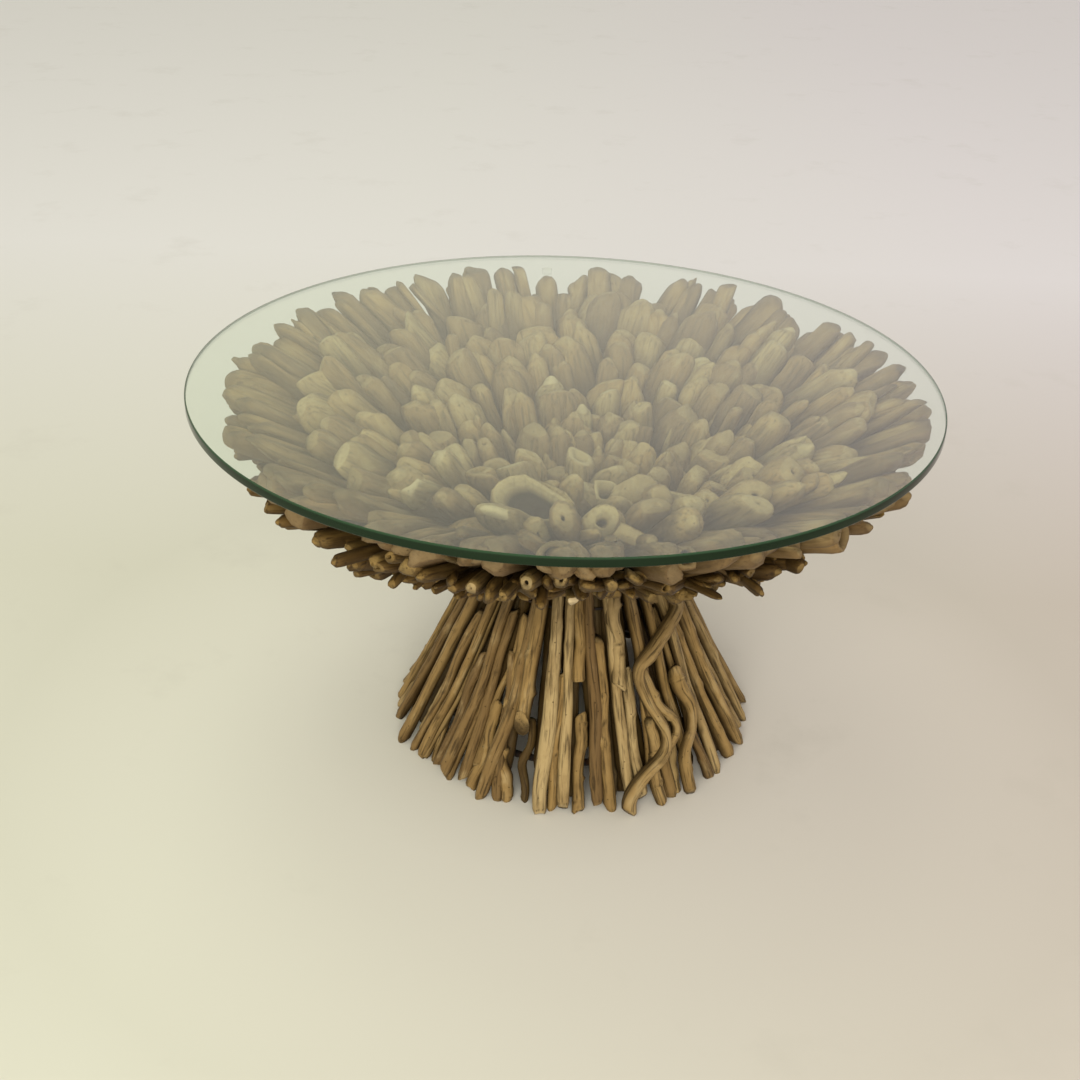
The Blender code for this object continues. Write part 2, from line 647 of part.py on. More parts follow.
def main():
    driftwood = make_material("driftwood", (0.30, 0.20, 0.11), 0.75)
    stick_wood = make_material("stick_wood", (0.34, 0.23, 0.13), 0.70)
    glass = make_material("green_edged_glass", (0.82, 0.90, 0.85), 0.02, transmission=1.0)
    steel = make_material("dark_steel", (0.05, 0.045, 0.04), 0.55, metallic=1.0)
    silicone = make_material("clear_silicone", (0.85, 0.86, 0.84), 0.30, transmission=0.6)

    base = add_empty("driftwood_base", (BASE_OFFSET_X, 0.0, 0.0))
    lift = add_empty("glass_lift", (0.0, 0.0, GLASS_TOP_HEIGHT - 0.5 * GLASS_THICKNESS))
    build_glass(glass, lift)

    tops = top_rows()
    unders = under_rows()
    set_pad_seats(tops[0], PAD_SEAT_HEIGHT)
    build_pads(tops[0], silicone, base, PAD_SEAT_HEIGHT)
    for number, row in enumerate(tops + unders):
        build_row(row, driftwood, base, SEED + number)

    inner = inner_stick_row()
    build_row(inner, stick_wood, base, SEED + 100)

    lean_cosine = -math.sin(inner.rise)
    rod_seat = (ROD_RADIUS + CLEARANCE) / lean_cosine
    neck_radius = inner_face(inner, NECK_HOOP_HEIGHT, -1.0) - rod_seat
    base_radius = inner_face(inner, BASE_HOOP_HEIGHT, -1.0) - rod_seat
    build_hoop("neck_hoop", neck_radius, NECK_HOOP_HEIGHT, ROD_RADIUS, steel, base)
    build_hoop("base_hoop", base_radius, BASE_HOOP_HEIGHT, ROD_RADIUS, steel, base)
    build_hoop("rim_hoop", RIM_HOOP_RADIUS, along_bowl_rib(RIM_HOOP_RADIUS), ROD_RADIUS, steel, base)
    tie_radius = inner_face(inner, TIE_HEIGHT, 1.0) + (TIE_RADIUS + CLEARANCE) / lean_cosine
    build_hoop("tie_hoop", tie_radius, TIE_HEIGHT, TIE_RADIUS, steel, base)

    rod_pair = (2.0 * ROD_RADIUS + CLEARANCE) / lean_cosine
    profile = rib_profile(neck_radius - rod_pair, base_radius - rod_pair)
    for number in range(RIB_COUNT):
        build_rib(f"rib_{number + 1}", profile, RIB_TURN + number * TAU / RIB_COUNT, steel, base)
    throat = min(point.x for point in profile)
    centre = tops[-1]
    hub_top = centre.section(-CANE_HALF, -CANE_HALF)[1] - CLEARANCE
    build_hub(throat, hub_top, driftwood, base)

    collar = unders[-1]
    stick_top = collar.section(-CANE_HALF, -CANE_HALF)[1] - CLEARANCE
    rng = random.Random(SEED + 200)
    sticks = [Stick(index, tie_radius, stick_top, rng) for index in range(STICK_COUNT)]
    for index, stick in enumerate(sticks):
        name = "short_stub" if index == STUB_INDEX else f"outer_stick_{index + 1:02d}"
        build_stick(name, stick, rng, stick_wood, base)

    branches = (("branch_long", LONG_BRANCH_ROUTE_SHARES, LONG_BRANCH_STICK),
                ("branch_short", SHORT_BRANCH_ROUTE_SHARES, SHORT_BRANCH_STICK))
    for name, route, index in branches:
        build_branch(name, route, sticks[index], sticks, stick_wood, base)


main()
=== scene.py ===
# %% [markdown]
# # A driftwood side table under glass
# The table is a loose glass disc on a bowl of sea-worn wood, over a flared pedestal of leaning sticks.
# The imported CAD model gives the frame: it says where every row of chunks, every stick and the glass belong.
# This lesson dresses that frame. The wood is drawn anew as numpy surfaces, because worn wood has no flat
# facets, while the steel rods and pads inside keep their CAD shapes and only get a finish.

# %% Load the frame
import math

import bpy
import numpy as np
from mathutils import Matrix, Vector


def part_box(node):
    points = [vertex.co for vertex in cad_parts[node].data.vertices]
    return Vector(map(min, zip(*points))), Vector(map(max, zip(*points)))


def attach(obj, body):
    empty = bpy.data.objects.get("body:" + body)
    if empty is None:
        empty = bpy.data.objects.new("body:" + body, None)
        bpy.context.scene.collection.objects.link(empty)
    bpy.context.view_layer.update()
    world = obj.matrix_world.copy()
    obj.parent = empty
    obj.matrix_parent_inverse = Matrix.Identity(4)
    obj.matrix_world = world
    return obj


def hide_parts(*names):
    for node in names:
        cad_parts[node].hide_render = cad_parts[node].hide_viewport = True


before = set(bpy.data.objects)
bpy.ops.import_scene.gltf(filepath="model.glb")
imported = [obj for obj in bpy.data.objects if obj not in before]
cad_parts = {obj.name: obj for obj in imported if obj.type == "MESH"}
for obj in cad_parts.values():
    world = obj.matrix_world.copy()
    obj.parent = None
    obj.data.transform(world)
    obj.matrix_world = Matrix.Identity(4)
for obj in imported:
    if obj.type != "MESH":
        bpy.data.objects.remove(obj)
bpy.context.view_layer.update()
RNG = np.random.default_rng(5)
AXIS_X = 0.020  # the driftwood stands this far to the right of the glass's middle
TAU = 2.0 * math.pi

# %% [markdown]
# ## Camera
# The photograph looks down on the glass from standing height with a long lens. A camera can be aimed with
# a constraint, but three angles written into its matrix keep the slight tilt of the photograph too.

# %% Camera
CAMERA_PLACE = (0.0, -1.4947, 1.0559)
CAMERA_YAW, CAMERA_PITCH, CAMERA_ROLL = -0.0145, 0.5028, 0.0344
LENS_MM, SENSOR_MM = 50.0, 36.0
PICTURE_PIXELS, SHIFT_PIXELS = 1080.0, -2.0


def camera_matrix(place, yaw, pitch, roll):
    """Camera axes: look along yaw and downwards by pitch, then turn the picture by roll."""
    look = np.array([math.sin(yaw) * math.cos(pitch), math.cos(yaw) * math.cos(pitch), -math.sin(pitch)])
    level = np.array([math.cos(yaw), -math.sin(yaw), 0.0])
    upright = np.cross(level, look)
    right = math.cos(roll) * level + math.sin(roll) * upright
    top = math.cos(roll) * upright - math.sin(roll) * level
    rows = np.column_stack([right, top, -look, place])
    return Matrix([*rows.tolist(), [0.0, 0.0, 0.0, 1.0]])


camera = bpy.data.objects.new("camera", bpy.data.cameras.new("camera"))
bpy.context.scene.collection.objects.link(camera)
camera.matrix_world = camera_matrix(CAMERA_PLACE, CAMERA_YAW, CAMERA_PITCH, CAMERA_ROLL)
camera.data.lens = LENS_MM
camera.data.sensor_width = SENSOR_MM
camera.data.shift_y = SHIFT_PIXELS / PICTURE_PIXELS
bpy.context.scene.camera = camera
bpy.context.scene.view_settings.view_transform = "Standard"
print("camera looks down by", round(math.degrees(CAMERA_PITCH), 1), "degrees")

# %% [markdown]
# ## Node helper
# Every finish below is a small network of shader nodes. One helper makes a node, fills its inputs and links
# those inputs that are given as another node's output, so that a finish reads like a short recipe.

# %% Node helper


def node(tree, kind, inputs=None, **settings):
    """Add a shader node; an input is a plain value or another node's output socket."""
    made = tree.nodes.new("ShaderNode" + kind)
    for key, value in settings.items():
        setattr(made, key, value)
    for key, value in (inputs or {}).items():
        if isinstance(value, bpy.types.NodeSocket):
            tree.links.new(value, made.inputs[key])
        else:
            made.inputs[key].default_value = value
    return made


def blend_colours(tree, share, first, second, how="MIX"):
    """Mix two colours by a share; the share and either colour may be sockets."""
    mixed = node(tree, "Mix", {0: share, 6: first, 7: second}, data_type="RGBA", blend_type=how)
    return mixed.outputs[2]


def remap(tree, value, low, high, to_low, to_high):
    """Stretch a value from one range to another, held at both ends."""
    made = node(tree, "MapRange", {"Value": value, "From Min": low, "From Max": high,
                                   "To Min": to_low, "To Max": to_high})
    return made.outputs["Result"]


def new_finish(name):
    """An empty node material with a Principled shader; returns the material, its tree and the shader."""
    material = bpy.data.materials.new(name)
    material.use_nodes = True
    tree = material.node_tree
    return material, tree, tree.nodes["Principled BSDF"]


# %% [markdown]
# ## Floor
# The photograph was taken on a pale studio floor. One large square carries it. Its paint drifts from ivory on
# the left to a rosy grey on the right, is paler far back, and has faint scuffs. Close to the pedestal it is
# lighter, and a little darker further out: a painted pool of light that thins out the table's shadow. The
# drift is painted by place, because coloured lamps would tint the wood as well.

# %% Floor
FLOOR_HALF = 7.0
floor_mesh = bpy.data.meshes.new("floor")
side = np.array([-FLOOR_HALF, FLOOR_HALF])
corner_x, corner_y = np.meshgrid(side, side)
floor_mesh.from_pydata(np.stack([corner_x, corner_y, 0.0 * corner_x], -1).reshape(-1, 3).tolist(), [],
                       [(0, 1, 3, 2)])
floor = bpy.data.objects.new("floor", floor_mesh)
bpy.context.scene.collection.objects.link(floor)

floor_paint, tree, shader = new_finish("floor_paint")
place = node(tree, "TexCoord").outputs["Object"]
axes = node(tree, "SeparateXYZ", {0: place})
pink = remap(tree, axes.outputs["X"], -0.4, 1.0, 0.0, 1.0)
near_tint = blend_colours(tree, pink, (0.655, 0.655, 0.545, 1.0), (0.545, 0.475, 0.443, 1.0))
far_tint = blend_colours(tree, pink, (0.81, 0.81, 0.795, 1.0), (0.81, 0.78, 0.825, 1.0))
far = remap(tree, axes.outputs["Y"], 0.3, 1.7, 0.0, 1.0)
tinted = blend_colours(tree, far, near_tint, far_tint)
# Painted light: lighter paint close to the pedestal, a little darker further out, thins out the table's
# shadow
distance = node(tree, "VectorMath", {0: place}, operation="LENGTH").outputs["Value"]
painted_light_pool = blend_colours(tree, remap(tree, distance, 0.30, 0.64, 0.0, 1.0), (1.14, 1.13, 1.16, 1.0),
                      (0.93, 0.93, 0.92, 1.0))
tinted = blend_colours(tree, 1.0, tinted, painted_light_pool, "MULTIPLY")
scuffs = node(tree, "TexNoise", {"Vector": place, "Scale": 5.0, "Detail": 6.0, "Roughness": 0.65})
worn = remap(tree, scuffs.outputs["Fac"], 0.58, 0.76, 0.0, 0.16)
shader.inputs["Roughness"].default_value = 0.85
tree.links.new(blend_colours(tree, worn, tinted, (0.42, 0.40, 0.34, 1.0)), shader.inputs["Base Color"])
floor_mesh.materials.append(floor_paint)
print("floor:", 2.0 * FLOOR_HALF, "m wide")

# %% [markdown]
# ## Lamps
# Shadows in the photograph are faint and wide, so its light was broad: a large lamp low in front and a weaker
# one above and behind. A lamp shines along its own -Z axis, so +Z is turned from the table towards the lamp.
# The photograph has no bright spots on the glass, so the glass does not mirror the lamps.

# %% Lamps
# Name, place, diameter, power and colour
LAMPS = (("key_light", (-0.3, -3.4, 1.70), 2.6, 122.0, (1.0, 0.97, 0.90)),
         ("back_light", (-0.4, 1.4, 3.9), 2.2, 19.0, (1.0, 0.97, 0.93)))
for lamp_name, lamp_place, lamp_size, lamp_power, lamp_colour in LAMPS:
    lamp = bpy.data.objects.new(lamp_name, bpy.data.lights.new(lamp_name, "AREA"))
    lamp.data.shape = "DISK"
    lamp.data.size = lamp_size
    lamp.data.energy = lamp_power
    lamp.data.color = lamp_colour
    lamp.rotation_euler = Vector(lamp_place).to_track_quat("Z", "Y").to_euler()
    lamp.location = lamp_place
    lamp.visible_glossy = False
    lamp.visible_transmission = False
    bpy.context.scene.collection.objects.link(lamp)
print("lamps:", [lamp[0] for lamp in LAMPS])

# %% [markdown]
# ## Sky
# An even sky fills the shadows. The camera and the glass see a sky a little warmer than the one that lights
# the wood. The glass mirrors it at this low angle, and that mirror image is the haze over the wood in the
# photograph.

# %% Sky
SKY_LIGHT, SKY_SEEN = 0.77, 0.90
sky = bpy.data.worlds.new("sky")
sky.use_nodes = True
bpy.context.scene.world = sky
tree = sky.node_tree
paths = node(tree, "LightPath")
seen = node(tree, "Math", {0: paths.outputs["Is Camera Ray"], 1: paths.outputs["Is Glossy Ray"]},
            operation="MAXIMUM")
seen = node(tree, "Math", {0: seen.outputs[0], 1: paths.outputs["Is Transmission Ray"]}, operation="MAXIMUM")
tree.links.new(remap(tree, seen.outputs[0], 0.0, 1.0, SKY_LIGHT, SKY_SEEN),
               tree.nodes["Background"].inputs["Strength"])
compass = node(tree, "SeparateXYZ", {0: node(tree, "TexCoord").outputs["Generated"]})
rosy = remap(tree, compass.outputs["X"], -0.25, 0.25, 0.0, 1.0)
lit_sky = blend_colours(tree, rosy, (1.0, 0.975, 0.85, 1.0), (1.0, 0.960, 0.90, 1.0))
seen_sky = blend_colours(tree, rosy, (1.0, 0.940, 0.725, 1.0), (1.07, 0.960, 0.915, 1.0))
tree.links.new(blend_colours(tree, seen.outputs[0], lit_sky, seen_sky),
               tree.nodes["Background"].inputs["Color"])
print("sky strength:", SKY_LIGHT, "as light and", SKY_SEEN, "as seen")

# %% [markdown]
# ## From rings to a mesh
# A chunk, a stick and a branch are all the same kind of surface: a closed outline carried along a path.
# The outlines of many tubes are computed as one array, with one axis for the tube, one for the ring, one for
# the point on the ring. Here the rings become a mesh, and a point in the middle of the first and last ring
# closes each tube.

# %% From rings to a mesh


def smooth(x):
    """Smooth step: 0 below 0, 1 above 1, and 3x^2 - 2x^3 between."""
    x = np.clip(x, 0.0, 1.0)
    return x * x * (3.0 - 2.0 * x)


def with_poles(rings):
    """Each tube's ring points in order, followed by the middles of its first and last ring."""
    flat = rings.reshape(rings.shape[0], -1, 3)
    return np.concatenate([flat, rings[:, [0, -1]].mean(axis=2)], axis=1).reshape(-1, 3)


def tube_mesh(name, rings, grain, tone):
    """One mesh of closed tubes. Quads join neighbouring rings, triangles close each end at its pole.

    rings, grain and tone are arrays of (tube, ring, point, 3): the places, the wood's own coordinates
    (across, across, along, in metres), and (shade of the piece, cut end or hole, how bleached and how lit it
    is there, which carries painted light and shade).
    """
    tubes, count, points = rings.shape[:3]
    first = np.arange(tubes)[:, None, None] * (count * points + 2)
    low = first + np.arange(count - 1)[None, :, None] * points
    here = np.arange(points)[None, None, :]
    after = (here + 1) % points
    quads = np.stack([low + here, low + after, low + points + after, low + points + here], axis=-1)
    pole = np.broadcast_to(first + count * points, (tubes, 1, points))
    last = first + (count - 1) * points
    caps = np.stack([np.stack([pole, first + after, first + here], axis=-1),
                     np.stack([last + here, last + after, pole + 1], axis=-1)])
    corners = np.concatenate([quads.ravel(), caps.ravel()]).astype(np.int32)
    starts = np.concatenate([np.arange(quads.size // 4) * 4, quads.size + np.arange(caps.size // 3) * 3])
    mesh = bpy.data.meshes.new(name)
    places = with_poles(rings)
    mesh.vertices.add(len(places))
    mesh.vertices.foreach_set("co", places.astype(np.float32).ravel())
    mesh.loops.add(len(corners))
    mesh.loops.foreach_set("vertex_index", corners)
    mesh.polygons.add(len(starts))
    mesh.polygons.foreach_set("loop_start", starts.astype(np.int32))
    mesh.polygons.foreach_set("use_smooth", np.ones(len(starts), dtype=bool))
    mesh.update(calc_edges=True)
    for field, values in (("grain", grain), ("tone", tone)):
        layer = mesh.attributes.new(field, "FLOAT_VECTOR", "POINT")
        layer.data.foreach_set("vector", with_poles(values).astype(np.float32).ravel())
    return mesh


def add_piece(name, mesh, material, body, slot, *nodes):
    """Put a mesh into the scene as a piece that rides on a body and stands for CAD nodes."""
    mesh.materials.append(material)
    piece = bpy.data.objects.new(name, mesh)
    bpy.context.scene.collection.objects.link(piece)
    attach(piece, body)
    if nodes:
        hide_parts(*nodes)
    return piece


# %% [markdown]
# ## Driftwood finish
# Driftwood is bleached on its skin and brown in its grooves. The grain runs along each piece, so the pattern
# is read from the wood's own coordinates, kept on the mesh as an attribute, and not from the room's. A cut
# end is paler, a pith hole is painted nearly black as painted shade, and each piece has its own shade
# between grey-brown and ochre. The bleaching kept on the mesh also carries painted light and shade: where
# shade falls, the skin is painted dark.

# %% Driftwood finish
FRESH_WOOD, HOLE_DARK = (0.60, 0.48, 0.29, 1.0), (0.012, 0.008, 0.005, 1.0)
STREAK_STRETCH = 0.06  # how much more slowly the grain changes along a piece than across it


def wood_finish(name, pale, ochre, brown, dark, streak_scale, groove_depth, end_share):
    """Streaks stretched along the grain, patches of weathering, worm holes and pale cut ends."""
    material, tree, shader = new_finish(name)
    grain = node(tree, "Attribute", attribute_name="grain").outputs["Vector"]
    tone = node(tree, "SeparateXYZ", {0: node(tree, "Attribute", attribute_name="tone").outputs["Vector"]})
    shade, cut, bleached_and_lit = tone.outputs["X"], tone.outputs["Y"], tone.outputs["Z"]
    along = node(tree, "Mapping", {"Vector": grain,
                                   "Scale": (streak_scale, streak_scale, STREAK_STRETCH * streak_scale)})
    streaks = node(tree, "TexNoise", {"Vector": along.outputs[0], "Scale": 1.0, "Detail": 5.0,
                                      "Roughness": 0.58, "Distortion": 0.3})
    spread = node(tree, "Mapping", {"Vector": grain, "Scale": (60.0, 60.0, 26.0)})
    patches = node(tree, "TexNoise", {"Vector": spread.outputs[0], "Scale": 1.0, "Detail": 4.0,
                                      "Roughness": 0.6})
    pits = node(tree, "TexVoronoi", {"Vector": grain, "Scale": 110.0, "Randomness": 1.0})
    skin = blend_colours(tree, remap(tree, shade, 0.0, 0.45, 0.0, 1.0), brown, ochre)
    skin = blend_colours(tree, remap(tree, shade, 0.45, 1.0, 0.0, 1.0), skin, pale)
    skin = blend_colours(tree, remap(tree, patches.outputs["Fac"], 0.46, 0.70, 0.0, 0.70), skin, brown)
    skin = blend_colours(tree, remap(tree, patches.outputs["Fac"], 0.30, 0.44, 0.55, 0.0), skin, pale)
    skin = blend_colours(tree, remap(tree, streaks.outputs["Fac"], 0.36, 0.50, groove_depth, 0.0), skin, dark)
    end_wood = blend_colours(tree, remap(tree, shade, 0.68, 1.0, 0.0, 1.0), pale, FRESH_WOOD)
    showing = node(tree, "Math", {0: remap(tree, cut, 0.15, 0.40, 0.0, 1.0),
                                  1: remap(tree, shade, 0.68, 1.0, end_share, 0.85)}, operation="MULTIPLY")
    skin = blend_colours(tree, showing.outputs[0], skin, end_wood)
    holes = remap(tree, pits.outputs["Distance"], 0.05, 0.11, 0.75, 0.0)
    skin = blend_colours(tree, holes, skin, dark)
    # Little bleached and lit turns the skin dark: unbleached wood and painted shade
    skin = blend_colours(tree, remap(tree, bleached_and_lit, 0.0, 1.0, 0.86, 0.0), skin, dark)
    # Painted shade inside a pith hole: nearly black
    hole = remap(tree, cut, 0.6, 0.9, 0.0, 0.94)
    skin = blend_colours(tree, hole, skin, HOLE_DARK)
    tree.links.new(skin, shader.inputs["Base Color"])
    tree.links.new(remap(tree, patches.outputs["Fac"], 0.3, 0.7, 0.58, 0.82), shader.inputs["Roughness"])
    shader.inputs["Specular IOR Level"].default_value = 0.4
    relief = node(tree, "Math", {0: streaks.outputs["Fac"], 1: holes}, operation="SUBTRACT")
    bump = node(tree, "Bump", {"Height": relief.outputs[0], "Strength": 0.6, "Distance": 0.0014})
    tree.links.new(bump.outputs["Normal"], shader.inputs["Normal"])
    return material


chunk_wood = wood_finish("bleached_driftwood", (0.43, 0.318, 0.158, 1.0), (0.365, 0.230, 0.092, 1.0),
                         (0.215, 0.136, 0.063, 1.0), (0.045, 0.025, 0.008, 1.0), 300.0, 0.48, 0.40)
# The underside's stubs have a darker palette: browner wood and painted shade under the bowl
stub_wood = wood_finish("underside_driftwood_painted_shade", (0.262, 0.177, 0.060, 1.0), (0.163, 0.092, 0.022, 1.0),
                        (0.076, 0.042, 0.011, 1.0), (0.012, 0.005, 0.001, 1.0), 300.0, 0.70, 0.28)
stick_wood = wood_finish("weathered_sticks", (0.39, 0.284, 0.130, 1.0), (0.28, 0.176, 0.058, 1.0),
                         (0.135, 0.079, 0.027, 1.0), (0.020, 0.010, 0.001, 1.0), 360.0, 0.76, 0.45)
print("wood finishes:", chunk_wood.name, stub_wood.name, stick_wood.name)

# %% [markdown]
# ## Worn chunks
# A chunk is a short length of branch, rolled in the sea until its end is round, or sawn, split or hollow.
# It could be sculpted, but hundreds of them need a rule: a squarish oval that swells from its root, narrows
# towards its tip and is rounded off there, with ripples round it, a bend and a knot. All chunks of a row
# are computed together.

# %% Worn chunks
SIDE_RINGS, CHUNK_POINTS = 12, 14
TORN_FROM = 0.025  # hollow chunks thicker than twice this have a torn rim
RIPPLE, LONG_WAVE, KNOT, TORN = 0.15, 0.045, 0.15, 0.22  # shares of the section's size
BEND, SLANT, CHISEL = 0.040, 0.55, 0.7  # share of the length, and slopes of an end
CAP_SHARES = np.array([0.94, 0.80, 0.62, 0.44, 0.28, 0.12])
# Rows: rounded, sawn, wedge, pointed, hollow. Columns: share of the section left at the tip, height of the
# dome, radius and depth of the hole, and how much width and thickness are lost towards the tip.
END_KINDS = np.array([[0.55, 0.50, 0.00, 0.000, 0.10, 0.10],
                      [0.74, 0.24, 0.24, 0.010, 0.08, 0.08],
                      [0.66, 0.30, 0.00, 0.000, 0.20, 0.52],
                      [0.45, 0.75, 0.00, 0.000, 0.42, 0.36],
                      [0.84, 0.12, 0.58, 0.030, 0.05, 0.05]])


def unit(vectors):
    """Vectors scaled to length one."""
    return vectors / np.linalg.norm(vectors, axis=-1, keepdims=True)


def chunk_tone(s, phi, inward, near_tip, cut, turned_up, shade, style):
    """Tone of chunks: painted shade near the root, on the flanks, below and at the tip, as the style says."""
    # Painted shade: on the flanks where neighbours meet; below, on chunks that lie flat; at the rim's tips;
    # near the root, deep between the rows; and on the sides of chunks with less weather and light, whose cut
    # ends stay bright
    painted_shade = 0.45 * smooth((np.abs(np.cos(phi)) - 0.5) / 0.5) * (1.0 - near_tip)
    under = style["under"] * smooth((style["under_from"] - np.sin(phi)) / 0.8) * turned_up
    under = under * np.maximum(np.sqrt(inward), style["under"] - 0.1)
    under = np.maximum(under, style["dark_tip"] * smooth((s - 0.88) / 0.12))
    air = style["weather_and_light"] + (1.0 - style["weather_and_light"]) * np.minimum(cut / 0.4, 1.0)
    bleached_and_lit = smooth((s - 0.25) / 0.6) * (1.0 - painted_shade) * (1.0 - under) * air
    return np.stack(np.broadcast_arrays(shade, cut, bleached_and_lit), axis=-1)


def worn_chunks(root, along, across, length, width, thick, kind, pith, shade, rough, style):
    """Rings, grain and tone of closed chunks.

    Section: (width, thick) halves of a super-ellipse, times a swell from the root, a taper, and a
    quarter-circle rounding at the tip; times 1 + ripples round the section, deeper on rough chunks; plus one
    knot; cut back by four flats, each the distance of a plane over the cosine of the angle to it.
    Cap: the tip section shrunk to nothing, raised as a dome and pushed in as a pith hole. A big hollow has a
    torn rim, two waves round it. Some tips are chiselled: nothing reaches beyond a slanting plane.
    """
    many = len(root)
    length, width, thick, rough = (values[:, None, None] for values in (length, width, thick, rough))
    blunt, dome, hole, depth, narrow, flatten = END_KINDS[kind].T[:, :, None, None]
    hole = hole * np.maximum(0.0, pith)[:, None, None]
    side = np.cross(across, along)
    s = 1.0 - (1.0 - np.linspace(0.0, 1.0, SIDE_RINGS)) ** 1.5
    s = np.concatenate([s, np.ones(len(CAP_SHARES))])[None, :, None]
    inward = np.concatenate([np.ones(SIDE_RINGS), CAP_SHARES])[None, :, None]
    phi = (np.arange(CHUNK_POINTS) * TAU / CHUNK_POINTS)[None, None, :]
    spread = RNG.uniform(0.0, TAU, (5, many, 1, 1))
    size = RNG.uniform(0.0, 1.0, (6, many, 1, 1))
    twist = RNG.uniform(-1.2, 1.2, (many, 1, 1))
    square = RNG.uniform(1.6, 3.2, (many, 1, 1))
    waves = (np.cos(k * (phi + twist * s) + spread[k]) * (0.3 + size[k]) / k for k in (2, 3, 4))
    ripple = 1.0 + RIPPLE * rough * sum(waves)
    ripple = ripple + LONG_WAVE * rough * np.sin(TAU * (1.0 + size[5]) * s + spread[0] + phi)
    knot = np.exp(-((s - 0.35 - 0.5 * size[0]) / 0.10) ** 2 - (1.0 - np.cos(phi - spread[1])) / 0.22)
    ripple = ripple + KNOT * rough * smooth(2.0 * size[1] - 0.7) * knot
    end_length = np.clip((0.5 + 0.5 * dome) * width / length, 0.05, 0.6)
    e = np.clip((s - 1.0 + end_length) / end_length, 0.0, 1.0)
    rounding = np.sqrt(1.0 - (1.0 - blunt ** 2) * e ** 2)
    swell = 0.70 + 0.30 * smooth(s / 0.45)
    plane_turn = RNG.uniform(0.0, TAU, (4, many, 1, 1))
    plane_far = RNG.uniform(0.70, 1.05, (4, many, 1, 1))
    flats = (plane_far / np.maximum(np.cos(phi + 0.4 * twist * s - plane_turn), 0.3)).min(axis=0)
    outline = swell * rounding * ripple * inward * np.minimum(flats, 1.0)
    cosine, sine = np.cos(phi), np.sin(phi)
    x = width * outline * (1.0 - narrow * s ** 2) * np.sign(cosine) * np.abs(cosine) ** (2.0 / square)
    y = thick * outline * (1.0 - flatten * s ** 2) * np.sign(sine) * np.abs(sine) ** (2.0 / square)
    small = np.minimum(width, thick)
    near_tip = smooth((s - 0.8) / 0.2)
    drilled = smooth((hole - inward) / (0.45 * hole + 1e-6) + 0.5) * (hole > 0.06)
    forward = dome * small * (1.0 - inward ** 2) - depth * drilled
    slant = RNG.uniform(-SLANT, SLANT, (2, many, 1, 1))
    forward = forward + (slant[0] * x + slant[1] * y) * near_tip
    torn = TORN * small * (np.cos(3.0 * phi + spread[3]) + 0.7 * np.cos(5.0 * phi + spread[4]))
    torn = torn * (hole > 0.4) * (small > TORN_FROM)
    forward = forward + torn * inward * near_tip
    bend = RNG.normal(0.0, BEND, (2, many, 1, 1)) * rough * length * s ** 2
    reach = length * s + forward
    chisel = RNG.uniform(-CHISEL, CHISEL, (2, many, 1, 1))
    plane = length * RNG.uniform(0.99, 1.38, (many, 1, 1)) + chisel[0] * x + chisel[1] * y
    chiselled = smooth((reach - plane) / 0.002 + 0.5)
    reach = np.minimum(reach, plane)
    rings = (root[:, None, None] + along[:, None, None] * reach[..., None]
             + side[:, None, None] * (x + bend[0])[..., None]
             + across[:, None, None] * (y + bend[1])[..., None])
    own = RNG.uniform(-5.0, 5.0, (many, 1, 1, 3))
    grain = np.stack(np.broadcast_arrays(x, y, reach), axis=-1) + own
    cut = np.maximum(np.where(inward < 1.0, 0.4, 0.0), 0.4 * chiselled) + 0.6 * drilled
    turned_up = np.maximum(across[:, 2], 0.0)[:, None, None]
    return rings, grain, chunk_tone(s, phi, inward, near_tip, cut, turned_up, shade[:, None, None], style)


print("a chunk has", SIDE_RINGS + len(CAP_SHARES), "rings of", CHUNK_POINTS, "points")

# %% [markdown]
# ## Line of the ribs
# The CAD model pins each row of chunks to a cane hoop, and the hoops lie on six straight ribs that rise from
# the throat to the rim. A chunk's axis leaves its tip at some rise and meets the line of the hoops there, so
# tip and rise give its root, and a few sizes give all the rows.

# %% Line of the ribs
GLASS_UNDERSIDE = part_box("glass_top")[0][2]
PAD_ROOM, BOWL_DROP = 0.016, 0.1577  # from the glass to the rim's tips, and from those to the lowest tips
RIM_TIP_RADIUS, RIM_TIP_HEIGHT = 0.371, GLASS_UNDERSIDE - PAD_ROOM
COLLAR_TIP_HEIGHT = RIM_TIP_HEIGHT - BOWL_DROP
THROAT_RADIUS, THROAT_LIFT, RIB_END_DROP = 0.097, 0.0203, 0.0055
THROAT_HEIGHT = COLLAR_TIP_HEIGHT + THROAT_LIFT
RIB_SLOPE = (RIM_TIP_HEIGHT - RIB_END_DROP - THROAT_HEIGHT) / (RIM_TIP_RADIUS - THROAT_RADIUS)
ROD_SEAT, CANE_HALF = 0.0043, 0.0040  # half a rod with its clearance, and half a cane


def rib_height(radius, off_rib):
    """Height of the straight line of the ribs, moved up by a distance square to it."""
    return THROAT_HEIGHT + RIB_SLOPE * (radius - THROAT_RADIUS) + off_rib * math.hypot(1.0, RIB_SLOPE)


def hoop_places(tip_r, tip_z, rise, side):
    """Where a chunk's axis meets the line of the hoops, above (side 1) or below (side -1) the ribs.

    The axis leaves the tip at its rise. A square cane turned to that rise keeps its half width times the
    cosine plus the sine of its turn against the rib away from the rod.
    """
    turn = rise - math.atan(RIB_SLOPE)
    off_rib = side * (ROD_SEAT + CANE_HALF * (np.abs(np.cos(turn)) + np.abs(np.sin(turn))))
    radius = (tip_z - np.tan(rise) * tip_r - rib_height(0.0, off_rib)) / (RIB_SLOPE - np.tan(rise))
    return radius, rib_height(radius, off_rib)


print("the ribs rise by", round(math.degrees(math.atan(RIB_SLOPE)), 1), "degrees")

